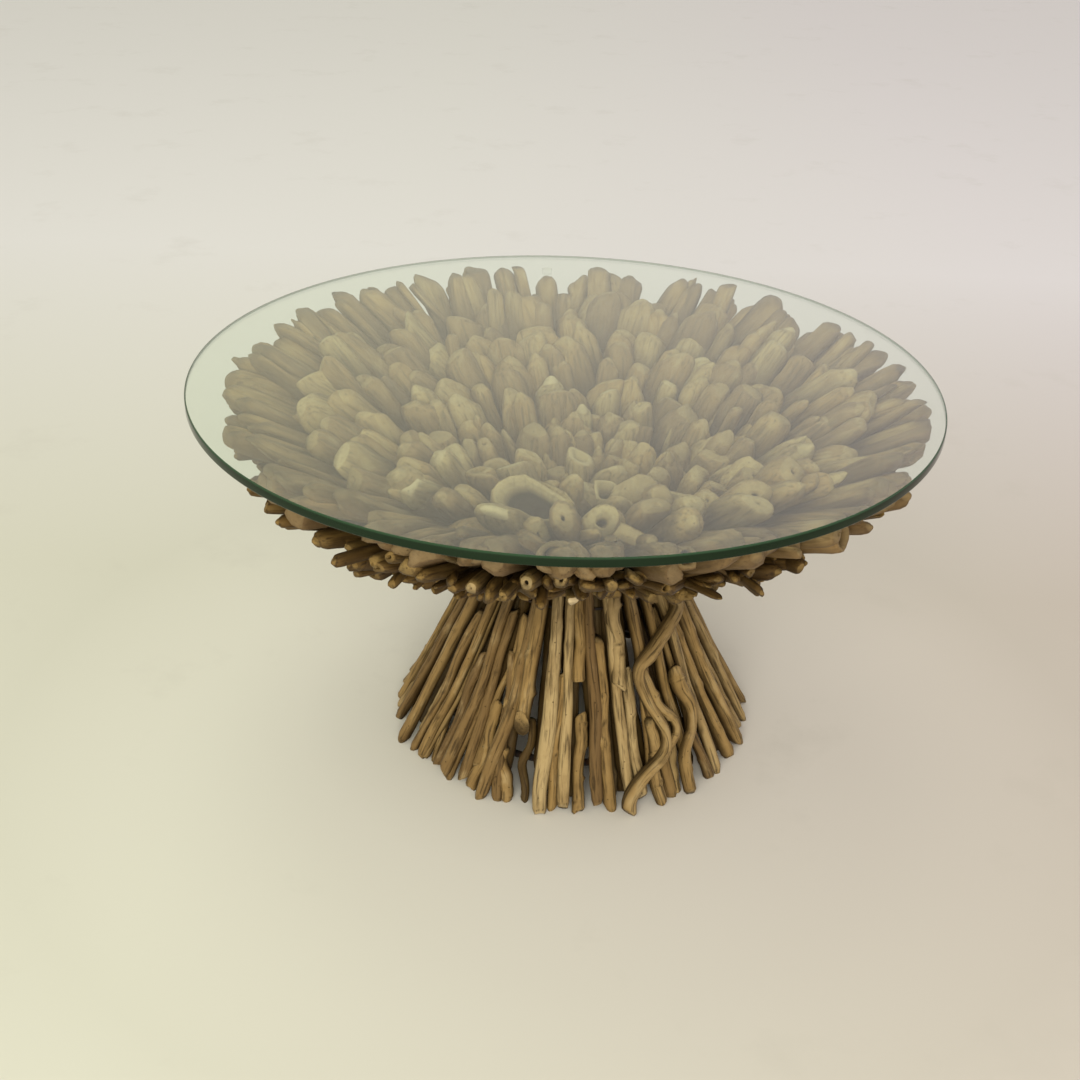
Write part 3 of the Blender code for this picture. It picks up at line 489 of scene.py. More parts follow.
# %% [markdown]
# ## Rows of the dish
# Seven rows make the dish. Their tips follow a hollow curve, and their chunks stand more steeply the nearer
# they are to the centre. Each row is kept as its name, hoop radius and height, and tip radius and height
# about the driftwood's axis.

# %% Rows of the dish
TOP_NAMES = ("rim_row", *(f"dish_row_{number}" for number in range(1, 6)), "centre_row")
RIM_ROOT_RADIUS, RIM_LIFT = 0.2577, 0.0006  # where rim chunks start, and how far above the ribs' axis
DISH_LIP_RADIUS, DISH_DEPTH, DISH_CURVE, DISH_LAY = 0.320, 0.053, 1.5, math.radians(10.3)
CENTRE_TIP_RADIUS, CENTRE_LENGTH, CENTRE_RISE = 0.022, 0.100, math.radians(87.0)


def top_rows():
    """Tips on a dish: its depth times (1 - share of the lip's radius to a power). Chunks rise inwards."""
    tip_r = np.linspace(RIM_TIP_RADIUS, CENTRE_TIP_RADIUS, len(TOP_NAMES))
    tip_z = RIM_TIP_HEIGHT - DISH_DEPTH * (1.0 - np.minimum(1.0, tip_r / DISH_LIP_RADIUS) ** DISH_CURVE)
    rise = np.linspace(math.atan(RIB_SLOPE) + DISH_LAY, CENTRE_RISE, len(TOP_NAMES) - 1)
    root_r, root_z = hoop_places(tip_r, tip_z, np.concatenate([rise[:1], rise]), 1.0)
    root_r[0], root_z[0] = RIM_ROOT_RADIUS, rib_height(RIM_ROOT_RADIUS, RIM_LIFT)
    root_r[-1] = tip_r[-1] - CENTRE_LENGTH * math.cos(CENTRE_RISE)
    root_z[-1] = tip_z[-1] - CENTRE_LENGTH * math.sin(CENTRE_RISE)
    return list(zip(TOP_NAMES, root_r, root_z, tip_r, tip_z))


TOP_ROWS = top_rows()
print("rows above the ribs:", len(TOP_ROWS))

# %% [markdown]
# ## Rows of the underside
# Five rows make the bell below. Their tips follow a curve that steepens outwards, and their chunks lie
# flatter than it, so that each row shows its ends under the next one.

# %% Rows of the underside
UNDER_NAMES = (*(f"under_row_{number}" for number in range(1, 5)), "collar_row")
UNDER_TIP_RADIUS, UNDER_DROP, UNDER_CURVE, UNDER_LAY = 0.362, 0.035, 1.3, math.radians(14.9)
COLLAR_TIP_RADIUS, COLLAR_LAY = 0.150, math.radians(22.4)


def under_rows():
    """Tips on a bell: a fall times (1 - share of the outer radius to a power). Chunks lie flatter than it."""
    tip_r = np.linspace(UNDER_TIP_RADIUS, COLLAR_TIP_RADIUS, len(UNDER_NAMES))
    share = tip_r / UNDER_TIP_RADIUS
    fall = (RIM_TIP_HEIGHT - UNDER_DROP - COLLAR_TIP_HEIGHT) / (1.0 - share[-1] ** UNDER_CURVE)
    tip_z = RIM_TIP_HEIGHT - UNDER_DROP - fall * (1.0 - share ** UNDER_CURVE)
    slope = np.arctan(fall * UNDER_CURVE / UNDER_TIP_RADIUS * share ** (UNDER_CURVE - 1.0))
    rise = slope - np.linspace(UNDER_LAY, COLLAR_LAY, len(UNDER_NAMES))
    root_r, root_z = hoop_places(tip_r, tip_z, rise, -1.0)
    root_r[-1] = THROAT_RADIUS
    root_z[-1] = tip_z[-1] - (tip_r[-1] - THROAT_RADIUS) * np.tan(rise[-1])
    return list(zip(UNDER_NAMES, root_r, root_z, tip_r, tip_z))


UNDER_ROWS = under_rows()
print("rows below the ribs:", len(UNDER_ROWS))

# %% [markdown]
# ## Chosen chunks
# Most chunks are drawn at random, but the photograph picks some out: a big hollow one in the dish, sawn ends
# with drilled piths, pale tips along the lower edge. These are listed with their row and angle. Four more
# stand under the pads, whose places come from the frame.

# %% Chosen chunks
PAD_NAMES = tuple(f"glass_pad_{number}" for number in range(1, 5))


def turned(radius, height, angle):
    """Places at a radius, height and angle about the driftwood's axis."""
    return np.stack([AXIS_X + radius * np.cos(angle), radius * np.sin(angle),
                     height * np.ones_like(angle)], axis=-1)


def pad_seats():
    """Angle of each pad about the driftwood's axis, and the height of the pads' undersides."""
    low = np.array([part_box(name)[0] for name in PAD_NAMES])
    high = np.array([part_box(name)[1] for name in PAD_NAMES])
    middle = 0.5 * (low + high)
    return np.arctan2(middle[:, 1], middle[:, 0] - AXIS_X), low[:, 2].min()


# Chunks picked out by the photograph: row, degrees, share set back, half width, half thickness, kind of end,
# shade, how much higher the tip lies than its row's, and size of the pith hole
CHOSEN = (("dish_row_2", -102.0, 0.45, 0.046, 0.029, 4, 0.78, 0.006, 1.25),
          ("dish_row_4", -90.0, 0.75, 0.017, 0.016, 4, 0.80, 0.0, 0.8),
          ("dish_row_3", -128.0, 0.50, 0.016, 0.016, 4, 0.55, 0.0, 0.8),
          ("dish_row_3", -135.0, 0.00, 0.018, 0.017, 1, 0.85, 0.0, 0.9),
          ("dish_row_1", 142.0, 0.75, 0.020, 0.017, 1, 0.20, 0.0, 1.2),
          ("dish_row_1", -86.0, 0.75, 0.021, 0.018, 4, 0.75, 0.0, 0.55),
          ("dish_row_1", -106.0, 0.50, 0.029, 0.018, 2, 0.90, 0.0, 0.0),
          ("dish_row_4", 111.0, 0.50, 0.019, 0.017, 0, 0.90, 0.0, 0.0),
          ("dish_row_1", -130.0, 0.75, 0.022, 0.019, 0, 0.95, 0.0, 0.0),
          ("under_row_1", -150.5, 0.00, 0.0080, 0.0085, 0, 0.40, 0.006, 0.0),
          ("under_row_1", -147.0, 0.10, 0.0090, 0.0090, 1, 0.50, 0.003, 0.8),
          ("under_row_1", -143.0, 0.15, 0.0085, 0.0080, 0, 0.45, 0.001, 0.0),
          ("under_row_1", -139.0, 0.20, 0.0095, 0.0085, 0, 0.55, 0.001, 0.0),
          ("under_row_1", -135.0, 0.35, 0.0115, 0.0105, 0, 0.60, 0.000, 0.0),
          ("under_row_1", -127.5, 0.00, 0.0085, 0.0065, 0, 0.35, 0.000, 0.0),
          ("under_row_2", -135.0, 0.00, 0.0095, 0.0085, 1, 0.60, 0.000, 0.0),
          ("under_row_2", -123.0, 0.20, 0.0120, 0.0080, 0, 0.45, -0.010, 0.0),
          ("under_row_1", -124.0, 0.50, 0.0080, 0.0080, 1, 0.60, 0.018, 1.2),
          ("under_row_1", -120.0, 0.40, 0.0080, 0.0080, 1, 0.60, 0.020, 1.2),
          ("under_row_1", -115.0, 0.00, 0.0110, 0.0110, 1, 0.70, 0.014, 0.0),
          ("under_row_1", -112.0, 0.00, 0.0085, 0.0080, 0, 0.60, 0.002, 0.0),
          ("under_row_1", -109.6, 0.00, 0.0075, 0.0075, 0, 1.00, 0.019, 0.0),
          ("under_row_1", -105.8, 0.00, 0.0085, 0.0080, 1, 0.80, -0.001, 0.8),
          ("under_row_1", -103.2, 0.20, 0.0070, 0.0100, 0, 0.55, -0.004, 0.0),
          ("under_row_1", -100.2, 0.10, 0.0065, 0.0065, 1, 0.65, -0.006, 0.8),
          ("under_row_1", -97.2, 0.00, 0.0085, 0.0085, 1, 0.80, 0.005, 1.5),
          ("under_row_1", -92.2, 0.00, 0.0085, 0.0095, 1, 0.75, -0.005, 1.5),
          ("under_row_1", -88.6, 0.20, 0.0085, 0.0085, 0, 0.60, -0.003, 0.0),
          ("under_row_1", -86.0, 0.00, 0.0070, 0.0070, 1, 0.70, 0.004, 0.0),
          ("under_row_2", -91.3, 0.00, 0.0080, 0.0060, 1, 0.95, -0.020, 0.0),
          ("under_row_2", -57.0, 0.60, 0.0090, 0.0090, 1, 0.70, 0.008, 1.5),
          ("under_row_4", -67.0, 0.60, 0.0110, 0.0100, 0, 0.55, 0.0, 0.0))
PAD_SEAT_HALF = 0.015  # half width of the rim chunks that carry the pads


def chosen_chunks(name):
    """Chosen chunks and pad seats: angle, set back, half width, half thickness, kind, shade, rise, pith."""
    picked = [[math.radians(item[1]), *item[2:]] for item in CHOSEN if item[0] == name]
    if name == "rim_row":
        picked += [[seat, 0.0, PAD_SEAT_HALF, PAD_SEAT_HALF, 0, 0.5, 0.0, 0.0] for seat in pad_seats()[0]]
    return np.array(picked).reshape(-1, 8)


print("chosen chunks:", len(CHOSEN), "and", len(PAD_NAMES), "under the pads")

# %% [markdown]
# ## A lopsided bowl
# A bowl built from found wood is not round. Its lower edge hangs lower at the front left and lies higher at
# the right and over the pedestal. A smooth hump for each is enough, added to the heights of the tips.

# %% A lopsided bowl
# Humps in the underside's lower edge: degrees, spread of the cosine, and how far the tips are raised there
SAG_HUMPS = np.array([[-127.0, 0.06, -0.013], [-33.0, 0.03, 0.026]])
FRONT_RAISED, FRONT_SPREAD = 0.012, 0.13


def underside_sag(angle, radius):
    """How far a tip is raised: humps exp(-x^2) round the bowl, and one over the pedestal's front."""
    degrees, spread, raised = SAG_HUMPS.T
    turned_by = (np.cos(angle[:, None] - np.radians(degrees)) - 1.0) / spread
    front = np.exp(-(radius * np.cos(angle) / FRONT_SPREAD) ** 2) * smooth(-2.0 * np.sin(angle))
    return (raised * np.exp(-turned_by ** 2)).sum(axis=1) + FRONT_RAISED * front


print("lower edge: raised by", SAG_HUMPS[:, 2].tolist(), "m at its humps")

# %% [markdown]
# ## Styles of rows
# Dish, rim and underside differ in size, wear, colour and painted shade, and nothing else: the dish has wide
# weathered chunks, the rim slimmer ones with painted shade on their undersides and tips, the underside thin
# brown stubs with painted shade on their sides. One set of numbers for each says so.

# %% Styles of rows
# A style gives the pitch round the row, ranges of width and thickness, the share of slim chunks, odds of each
# kind of end, scatter of angle and height, shades, roughness, how much painted shade a chunk gets below, from
# where, and at its tip, how much weather and light its sides get (less means more painted shade), its reach
# to the left, stretch and sag, how many levels of tips it has, how far apart and how loosely those lie, how
# far a neighbour sinks for each metre of a chosen chunk's half width, and the finish
TOP_STYLE = {"pitch": 0.0250, "widths": (0.027, 0.060), "thicks": (0.022, 0.043), "slim": 0.10,
             "kinds": (0.46, 0.38, 0.06, 0.04, 0.06), "scatter": (0.085, 0.009), "shades": (0.0, 0.85),
             "rough": 1.0, "under": 0.62, "under_from": 0.0, "dark_tip": 0.0, "weather_and_light": 1.0,
             "left_reach": 0.003, "stretch": 1.0, "sag": 0.0, "levels": 2, "steps": 0.90, "slack": 1.0,
             "give_way": 0.9, "finish": chunk_wood}
RIM_STYLE = {**TOP_STYLE, "pitch": 0.0168, "widths": (0.021, 0.045), "thicks": (0.016, 0.027),
             "kinds": (0.57, 0.23, 0.09, 0.05, 0.06), "scatter": (0.050, 0.009), "shades": (0.0, 0.65),
             "under": 0.92, "under_from": 0.75, "dark_tip": 0.68, "stretch": 1.05, "steps": 0.38,
             "slack": 0.55}
STUB_STYLE = {**TOP_STYLE, "pitch": 0.0090, "widths": (0.009, 0.022), "thicks": (0.009, 0.017), "slim": 0.0,
              "kinds": (0.60, 0.20, 0.06, 0.08, 0.06), "scatter": (0.14, 0.010), "shades": (0.0, 0.65),
              "rough": 1.5, "weather_and_light": 0.60, "left_reach": 0.010, "sag": 1.0, "levels": 3, "give_way": 0.0,
              "finish": stub_wood}
print("pitch of chunks:", [style["pitch"] for style in (TOP_STYLE, RIM_STYLE, STUB_STYLE)], "m")

# %% [markdown]
# ## Laying the rows
# The wood is packed more closely than the hoops: every second or third chunk of a row starts further in, so
# that the rows overlap like scales. Angle, height, size and end of each chunk are drawn at random, then the
# chosen chunks take the place of their nearest neighbours.

# %% Laying the rows
MIDDLE_TIP, NECK_TIP = (0.006, 0.352), (0.125, 0.235)  # radius and height towards which the last rows lean
ELBOW_ROOM = 0.010  # neighbours that come nearer than this to a chosen chunk's flank make room for it
TIP_LIMIT = 0.384  # how far from the glass's middle a tip may lie, so that the glass stays the widest piece
GLASS_GAP, PAD_GAP = 0.0012, 0.0002  # room left under the glass, and under a pad


def lay_row(row, inner_tip, style):
    """Chunks of one row, turned about the axis with some scatter in angle, height and how far in they sit.

    The bowl is a little lopsided: tips reach further out on the left, by left_reach times minus the cosine.
    """
    name, root_r, root_z, tip_r, tip_z = row
    many = max(9, round(TAU * tip_r / style["pitch"]))
    order = np.arange(many)
    angle = (order + RNG.uniform(-0.35, 0.35, many)) * TAU / many
    turn = angle + RNG.normal(0.0, style["scatter"][0], many)
    levels = style["levels"]
    back = style["steps"] / levels * (order % levels) + style["slack"] * RNG.uniform(-0.20, 0.35, many)
    back = np.clip(back, 0.0, 0.9)
    slim = np.where(RNG.uniform(0.0, 1.0, many) < style["slim"], 0.55, 1.0)
    (thin, wide), (flat, deep) = style["widths"], style["thicks"]
    width = 0.5 * slim * thin * (wide / thin) ** RNG.uniform(0.0, 1.0, many)
    thick = 0.5 * slim * flat * (deep / flat) ** RNG.uniform(0.0, 1.0, many)
    kind = RNG.choice(len(END_KINDS), many, p=style["kinds"])
    pith = RNG.uniform(-0.5, 1.25, many)
    roll = RNG.normal(0.0, 0.30, many)[:, None]
    shade = RNG.uniform(*style["shades"], many)
    stretch = style["stretch"] + RNG.uniform(-0.08, 0.08, many)
    chosen = chosen_chunks(name)
    apart = np.abs((angle[:, None] - chosen[:, 0] + math.pi) % TAU - math.pi)
    picks = apart.argmin(axis=0)
    crowding = np.where(apart * tip_r < chosen[:, 2] + ELBOW_ROOM, chosen[:, 2], 0.0).max(axis=1, initial=0.0)
    back = np.where(crowding > 0.0, np.maximum(back, 0.5), back)
    rise = -style["give_way"] * crowding
    angle[picks], back[picks], width[picks], thick[picks] = chosen[:, :4].T
    kind[picks], shade[picks], rise[picks], pith[picks] = chosen[:, 4:].T
    turn[picks], roll[picks], stretch[picks] = angle[picks], 0.0, 1.04
    rough = np.full(many, style["rough"])
    rough[picks] = 0.6
    step = np.array([inner_tip[0] - tip_r, inner_tip[1] - tip_z])
    root = turned(root_r + 0.5 * step[0] * back, root_z + 0.5 * step[1] * back, angle)
    tip = turned(tip_r + step[0] * back - style["left_reach"] * np.cos(turn), tip_z + step[1] * back, turn)
    lift = style["scatter"][1] * RNG.uniform(-1.0, 1.0, many) + style["sag"] * underside_sag(turn, tip_r)
    tip[:, 2] += lift + rise
    along = unit(tip - root)
    level = np.stack([-np.sin(angle), np.cos(angle), np.zeros(many)], axis=-1)
    across = unit(np.cross(along, level))
    across = unit(across * np.cos(roll) + np.cross(along, across) * np.sin(roll))
    length = np.linalg.norm(tip - root, axis=-1) * stretch
    beyond = np.linalg.norm((root + along * length[:, None])[:, :2], axis=-1) - TIP_LIMIT
    length = length - np.maximum(beyond, 0.0) / np.linalg.norm(along[:, :2], axis=-1)
    rings, grain, tone = worn_chunks(root, along, across, length, width, thick, kind, pith, shade, rough,
                                     style)
    rings[..., 2] = np.minimum(rings[..., 2], GLASS_UNDERSIDE - GLASS_GAP)
    if name == "rim_row":
        rings[picks, ..., 2] = np.minimum(rings[picks, ..., 2], pad_seats()[1] - PAD_GAP)
    mesh = tube_mesh(name + "_wood", rings, grain, tone)
    add_piece(name + "_wood", mesh, style["finish"], "base", "driftwood", name)
    return many


chunk_total = 0
for row, inner_tip in zip(TOP_ROWS, [inner[3:] for inner in TOP_ROWS[1:]] + [MIDDLE_TIP]):
    chunk_total += lay_row(row, inner_tip, RIM_STYLE if row[0] == "rim_row" else TOP_STYLE)
for row, inner_tip in zip(UNDER_ROWS, [inner[3:] for inner in UNDER_ROWS[1:]] + [NECK_TIP]):
    chunk_total += lay_row(row, inner_tip, STUB_STYLE)
print("chunks:", chunk_total)

# %% [markdown]
# ## Round sticks
# The pedestal's sticks are straight shoots with knots, a slight wave and worn ends. A curve with a bevel
# would give a plain pipe. A round section carried along a path takes ripples and knots as well, and its
# colour can be told to be bleached and painted lit on its outer side and to take painted shade on its inner
# side and under the bowl.

# %% Round sticks
STICK_RINGS, STICK_POINTS = 40, 12
KNOT_LENGTH, KNOT_TURN = 0.022, 0.35  # spread of a knot along the stick and round it
# Painted shade under the bowl: from this height up the sticks are darkened, over this fade
BOWL_SHADE_FROM, BOWL_SHADE_OVER = 0.140, 0.080  # height from which the bowl shelters the sticks, and its fade


def stick_tubes(path, facing, radius, shade, knots, weather_and_light, marks=()):
    """Round tubes along paths: a section with ripples and knots, rounded off at both ends.

    Knots are humps exp(-distance^2) at random shares along the stick and angles round it; marks are knots
    on the outer side, given as stick, number of the knot and share along the stick. The side that
    faces outwards is lighter, bleached and painted lit, the more so the more weather and light a stick gets;
    the inner side gets painted shade, and so does the upper end, in the bowl's shade.
    """
    many, count = path.shape[:2]
    tangent = unit(np.gradient(path, axis=1))
    across = unit(facing - (facing * tangent).sum(-1, keepdims=True) * tangent)
    side = np.cross(across, tangent)
    t = np.linspace(0.0, 1.0, count)[None, :, None]
    phi = (np.arange(STICK_POINTS) * TAU / STICK_POINTS)[None, None, :]
    spread = RNG.uniform(0.0, TAU, (6, many, 1, 1))
    ripple = 1.0 + 0.07 * np.cos(2.0 * phi + spread[0] + 3.0 * t)
    ripple = ripple + 0.05 * np.cos(3.0 * phi + spread[1] - 4.0 * t)
    ripple = ripple + 0.08 * np.sin(7.0 * t + spread[2]) + 0.04 * np.sin(23.0 * t + spread[3] + phi)
    where = RNG.uniform(0.10, 0.95, (knots, many, 1, 1))
    turn = RNG.uniform(0.0, TAU, (knots, many, 1, 1))
    for stick, number, share in marks:
        where[number, stick], turn[number, stick] = share, 0.5 * math.pi
    humps = np.exp(-((t - where) / KNOT_LENGTH) ** 2 - (1.0 - np.cos(phi - turn)) / KNOT_TURN)
    bulge = RNG.uniform(0.05, 0.40, (knots, many, 1, 1)) * humps
    ripple = ripple + bulge.sum(axis=0)
    arc = np.linalg.norm(np.diff(path, axis=1), axis=-1)
    metres = np.concatenate([np.zeros((many, 1)), np.cumsum(arc, axis=1)], axis=1)[..., None]
    to_end = np.minimum(metres, metres[:, -1:] - metres)
    ends = np.sqrt(1.0 - 0.45 * np.clip(1.0 - to_end / 0.0025, 0.0, 1.0) ** 2)
    reach = radius[..., None] * ripple * ends
    x, y = reach * np.cos(phi), reach * np.sin(phi)
    slant = RNG.uniform(-0.7, 0.7, (2, many, 1, 1))
    shift = (slant[0] * x + slant[1] * y) * np.exp(-to_end / 0.006)
    rings = (path[:, :, None] + side[:, :, None] * x[..., None] + across[:, :, None] * y[..., None]
             + tangent[:, :, None] * shift[..., None])
    own = RNG.uniform(-5.0, 5.0, (many, 1, 1, 3))
    grain = np.stack(np.broadcast_arrays(x, y, metres), axis=-1) + own
    cut = 0.3 * np.exp(-to_end / 0.0015)
    hearts = smooth(3.0 * (humps ** 3).max(axis=0) - 1.2)
    # Painted shade: darker at the upper end under the bowl and on the inner side; the outer side is lighter,
    # bleached wood and painted light
    painted_shade = 0.42 * smooth((path[..., 2:] - BOWL_SHADE_FROM) / BOWL_SHADE_OVER)
    bleached_and_lit = smooth((np.sin(phi) + 0.30) / 1.10) * weather_and_light[:, None, None] * (1.0 - 0.75 * hearts)
    bleached_and_lit = bleached_and_lit * (1.0 - painted_shade)
    tone = np.stack(np.broadcast_arrays(shade[:, None, None], cut, bleached_and_lit * np.ones_like(x)), axis=-1)
    return rings, grain, tone


print("a stick has", STICK_RINGS, "rings of", STICK_POINTS, "points")

# %% [markdown]
# ## Paths on a cone
# All sticks lean on one cone, from a narrow neck under the bowl to a wide foot on the floor. A path is
# therefore an angle and a height, and the cone gives the radius.

# %% Paths on a cone
STICK_TOP, NECK_RADIUS, FOOT_RADIUS = 0.244, 0.0905, 0.1952
CONE_SLOPE = (FOOT_RADIUS - NECK_RADIUS) / STICK_TOP
SPLAY_RIGHT, SPLAY_LEFT = 0.012, 0.006  # how much further out the feet stand at the two sides
SHADED_DEGREES, SHADED_SPREAD = -142.0, 32.0  # the front left, where the photograph shows browner sticks


def cone_paths(foot_deg, foot_z, top_deg, top_z, stand_off, wave):
    """Paths on the pedestal's cone from top to foot, with a gentle wave from side to side.

    Radius: the cone's at that height, plus a stand-off, a kick at the foot (share^4), a splay at the sides.
    """
    t = np.linspace(0.0, 1.0, STICK_RINGS)[None, :]
    z = top_z[:, None] + (foot_z - top_z)[:, None] * t
    many = len(foot_deg)
    sway = RNG.uniform(0.0, TAU, (many, 1))
    bow = np.sin(math.pi * t)
    swing = wave[:, None] * (bow * np.sin(5.0 * t + sway) + 0.4 * bow * np.sin(11.0 * t - sway))
    angle = np.radians(top_deg)[:, None] + np.radians(foot_deg - top_deg)[:, None] * t + swing
    kick = RNG.uniform(-0.001, 0.008, (many, 1)) * t ** 4
    aside = np.cos(angle)
    splay = SPLAY_RIGHT * smooth((aside - 0.75) / 0.15) + SPLAY_LEFT * smooth((-aside - 0.75) / 0.15)
    radius = FOOT_RADIUS - CONE_SLOPE * z + stand_off[:, None] + kick + splay * t
    path = np.stack([AXIS_X + radius * aside, radius * np.sin(angle), z], axis=-1)
    facing = np.stack([aside, np.sin(angle), 0.0 * angle], axis=-1)
    return path, facing


def build_sticks(name, foot_deg, foot_z, top_deg, top_z, stand_off, thick, wave, *nodes, marks=()):
    """One piece of one or more sticks, each tapering a little from foot to top."""
    path, facing = cone_paths(foot_deg, foot_z, top_deg, top_z, stand_off, wave)
    t = np.linspace(0.0, 1.0, STICK_RINGS)[None, :]
    radius = 0.5 * thick[:, None] * (0.86 + 0.14 * t)
    # Sticks set back behind the outer ones get painted shade: less weather and light the deeper they sit
    weather_and_light = 1.0 - smooth((-0.002 - stand_off) / 0.017)
    in_shade = np.abs(foot_deg - SHADED_DEGREES) < SHADED_SPREAD
    shade = RNG.uniform(0.0, 1.0, len(thick)) * np.where(in_shade, 0.4, 1.0)
    rings, grain, tone = stick_tubes(path, facing, radius, shade, 4, weather_and_light, marks)
    rings[..., 2] = np.maximum(rings[..., 2], 0.0)
    return add_piece(name, tube_mesh(name, rings, grain, tone), stick_wood, "base", "stick_wood", *nodes)


print("cone: radius", NECK_RADIUS, "m at the neck and", FOOT_RADIUS, "m at the foot")

# %% [markdown]
# ## Outer sticks
# The outer sticks stand where the CAD sticks stand, evenly round the cone. On the near side the photograph
# shows how each one leans; the others lean at random.

# %% Outer sticks
STICK_COUNT, STICK_TURN, STUB_INDEX = 28, -10.7, 20
# Outer sticks whose lean shows in the photograph: number, degrees at the foot, degrees at the top
SEEN_LEAN = {14: (179.5, 177.0), 15: (-168.0, -171.0), 16: (-158.0, -160.0), 17: (-147.4, -141.0),
             18: (-134.0, -130.0), 19: (-118.0, -112.0), 21: (-91.0, -93.0), 22: (-80.0, -82.0),
             23: (-68.5, -71.0), 24: (-54.0, -56.0), 26: (-33.0, -31.0), 27: (-16.0, -19.0)}
one = np.ones(1)
for index in range(STICK_COUNT):
    degrees = STICK_TURN + (index + 0.5) * 360.0 / STICK_COUNT
    foot, top = SEEN_LEAN.get(index, (degrees + RNG.uniform(-2.5, 2.5), degrees + RNG.uniform(-1.5, 1.5)))
    if index == STUB_INDEX:
        continue
    label = f"outer_stick_{index + 1:02d}"
    lifted = max(0.0, RNG.uniform(-0.010, 0.012))
    thick = RNG.uniform(0.0122, 0.0168)
    wave = RNG.uniform(0.006, 0.022)
    build_sticks(label + "_wood", foot * one, lifted * one, top * one, STICK_TOP * one, 0.0 * one,
                 thick * one, wave * one, label)
print("outer sticks:", STICK_COUNT - 1)

# %% [markdown]
# ## The sawn stub
# One outer stick is sawn off well above the floor. Its end swells to a knob and shows an oval face. The face
# is made by sliding every point that lies beyond the saw's plane back along the stick until it meets that
# plane, and the face is shaded flat so that its rim stays crisp.

# %% The sawn stub
STUB_DEGREES, STUB_LEAN, STUB_FOOT, STUB_STAND_OFF, STUB_WAVE = -108.5, -1.5, 0.068, 0.002, 0.008
STUB_RADIUS, KNOB_SHARE, KNOB_LENGTH = 0.0075, 0.32, 0.30
SAW_DROP, SAW_BACK = 0.10, 0.020  # how far the face looks down, and where it starts along the stick
path, facing = cone_paths(STUB_DEGREES * one, STUB_FOOT * one, (STUB_DEGREES + STUB_LEAN) * one,
                          STICK_TOP * one, STUB_STAND_OFF * one, STUB_WAVE * one)
t = np.linspace(0.0, 1.0, STICK_RINGS)[None, :]
stub_radius = STUB_RADIUS * (1.0 + KNOB_SHARE * np.exp(-((1.0 - t) / KNOB_LENGTH) ** 2))
rings, grain, tone = stick_tubes(path, facing, stub_radius, np.array([0.40]), 3, np.ones(1))
saw = unit(facing[0, -1] - np.array([0.0, 0.0, SAW_DROP]))
down = unit(path[0, -1] - path[0, -2])
beyond = np.maximum((rings - path[0, -1] + SAW_BACK * down) @ saw, 0.0)
rings = rings - down * (beyond / (down @ saw))[..., None]
tone[..., 1] = np.where(beyond > 0.0, 0.25, tone[..., 1])
stub = add_piece("short_stub_wood", tube_mesh("short_stub_wood", rings, grain, tone), stick_wood, "base",
                 "stick_wood", "short_stub")
sawn = with_poles(np.repeat(beyond[..., None], 3, axis=-1))[:, 0] > 0.0
quad_count = (STICK_RINGS - 1) * STICK_POINTS
corners = np.zeros(len(stub.data.loops), dtype=np.int32)
stub.data.loops.foreach_get("vertex_index", corners)
on_face = np.concatenate([sawn[corners[:4 * quad_count].reshape(-1, 4)].all(axis=1),
                          sawn[corners[4 * quad_count:].reshape(-1, 3)].all(axis=1)])
stub.data.polygons.foreach_set("use_smooth", ~on_face)
print("stub sawn at", STUB_FOOT, "m")

# %% [markdown]
# ## Sticks behind and between
# Two inner rings of sticks fill the gaps. Short strays lie between the outer sticks, as the photograph shows
# on the near side; round the back they follow the same habit. Each property of all these sticks is one array.

# %% Sticks behind and between
# Degrees and height at the foot, degrees and height at the top, thickness
STRAY_STICKS = np.array([
    [-152.5, 0.000, -149.0, 0.170, 0.0125], [-140.4, 0.000, -136.7, 0.135, 0.0140],
    [-127.6, 0.006, -126.5, 0.190, 0.0130], [-123.5, 0.000, -121.5, 0.095, 0.0140],
    [-113.0, 0.000, -121.0, 0.150, 0.0130], [-110.3, 0.000, -114.5, 0.052, 0.0135],
    [-104.6, 0.000, -106.5, 0.082, 0.0105], [-98.0, 0.000, -100.2, 0.222, 0.0165],
    [-94.6, 0.000, -94.4, 0.140, 0.0130], [-86.1, 0.000, -85.4, 0.098, 0.0150],
    [-87.0, 0.135, -87.2, 0.225, 0.0150], [-75.3, 0.000, -77.0, 0.175, 0.0165],
    [-69.0, 0.126, -66.0, 0.225, 0.0170], [-64.5, 0.010, -64.0, 0.140, 0.0140],
    [-51.0, 0.000, -49.7, 0.060, 0.0140], [-37.5, 0.000, -36.5, 0.125, 0.0130],
    [-24.0, 0.000, -25.5, 0.190, 0.0140], [-9.0, 0.004, -11.0, 0.150, 0.0135]])
RING, BEHIND = STICK_COUNT, 15  # sticks in an inner ring, and strays round the back
INNER_TOP, INNER_FOOT, INNER_SET_BACK, DEEP_SET_BACK = 0.228, 0.006, 0.020, 0.030
inner_deg = STICK_TURN + np.arange(RING) * 360.0 / RING
deep_deg = inner_deg + 180.0 / RING
behind = np.linspace(5.0, 185.0, BEHIND) + RNG.uniform(-4.0, 4.0, BEHIND)
foot_deg = np.concatenate([inner_deg + RNG.uniform(-2.0, 2.0, RING), deep_deg + RNG.uniform(-6.0, 6.0, RING),
                           STRAY_STICKS[:, 0], behind])
foot_z = np.concatenate([np.full(RING, INNER_FOOT), RNG.uniform(0.0, 0.05, RING), STRAY_STICKS[:, 1],
                         np.maximum(0.0, RNG.uniform(-0.01, 0.012, BEHIND))])
top_deg = np.concatenate([inner_deg, deep_deg, STRAY_STICKS[:, 2], behind + RNG.uniform(-4.0, 4.0, BEHIND)])
top_z = np.concatenate([np.full(2 * RING, INNER_TOP), STRAY_STICKS[:, 3], RNG.uniform(0.06, 0.20, BEHIND)])
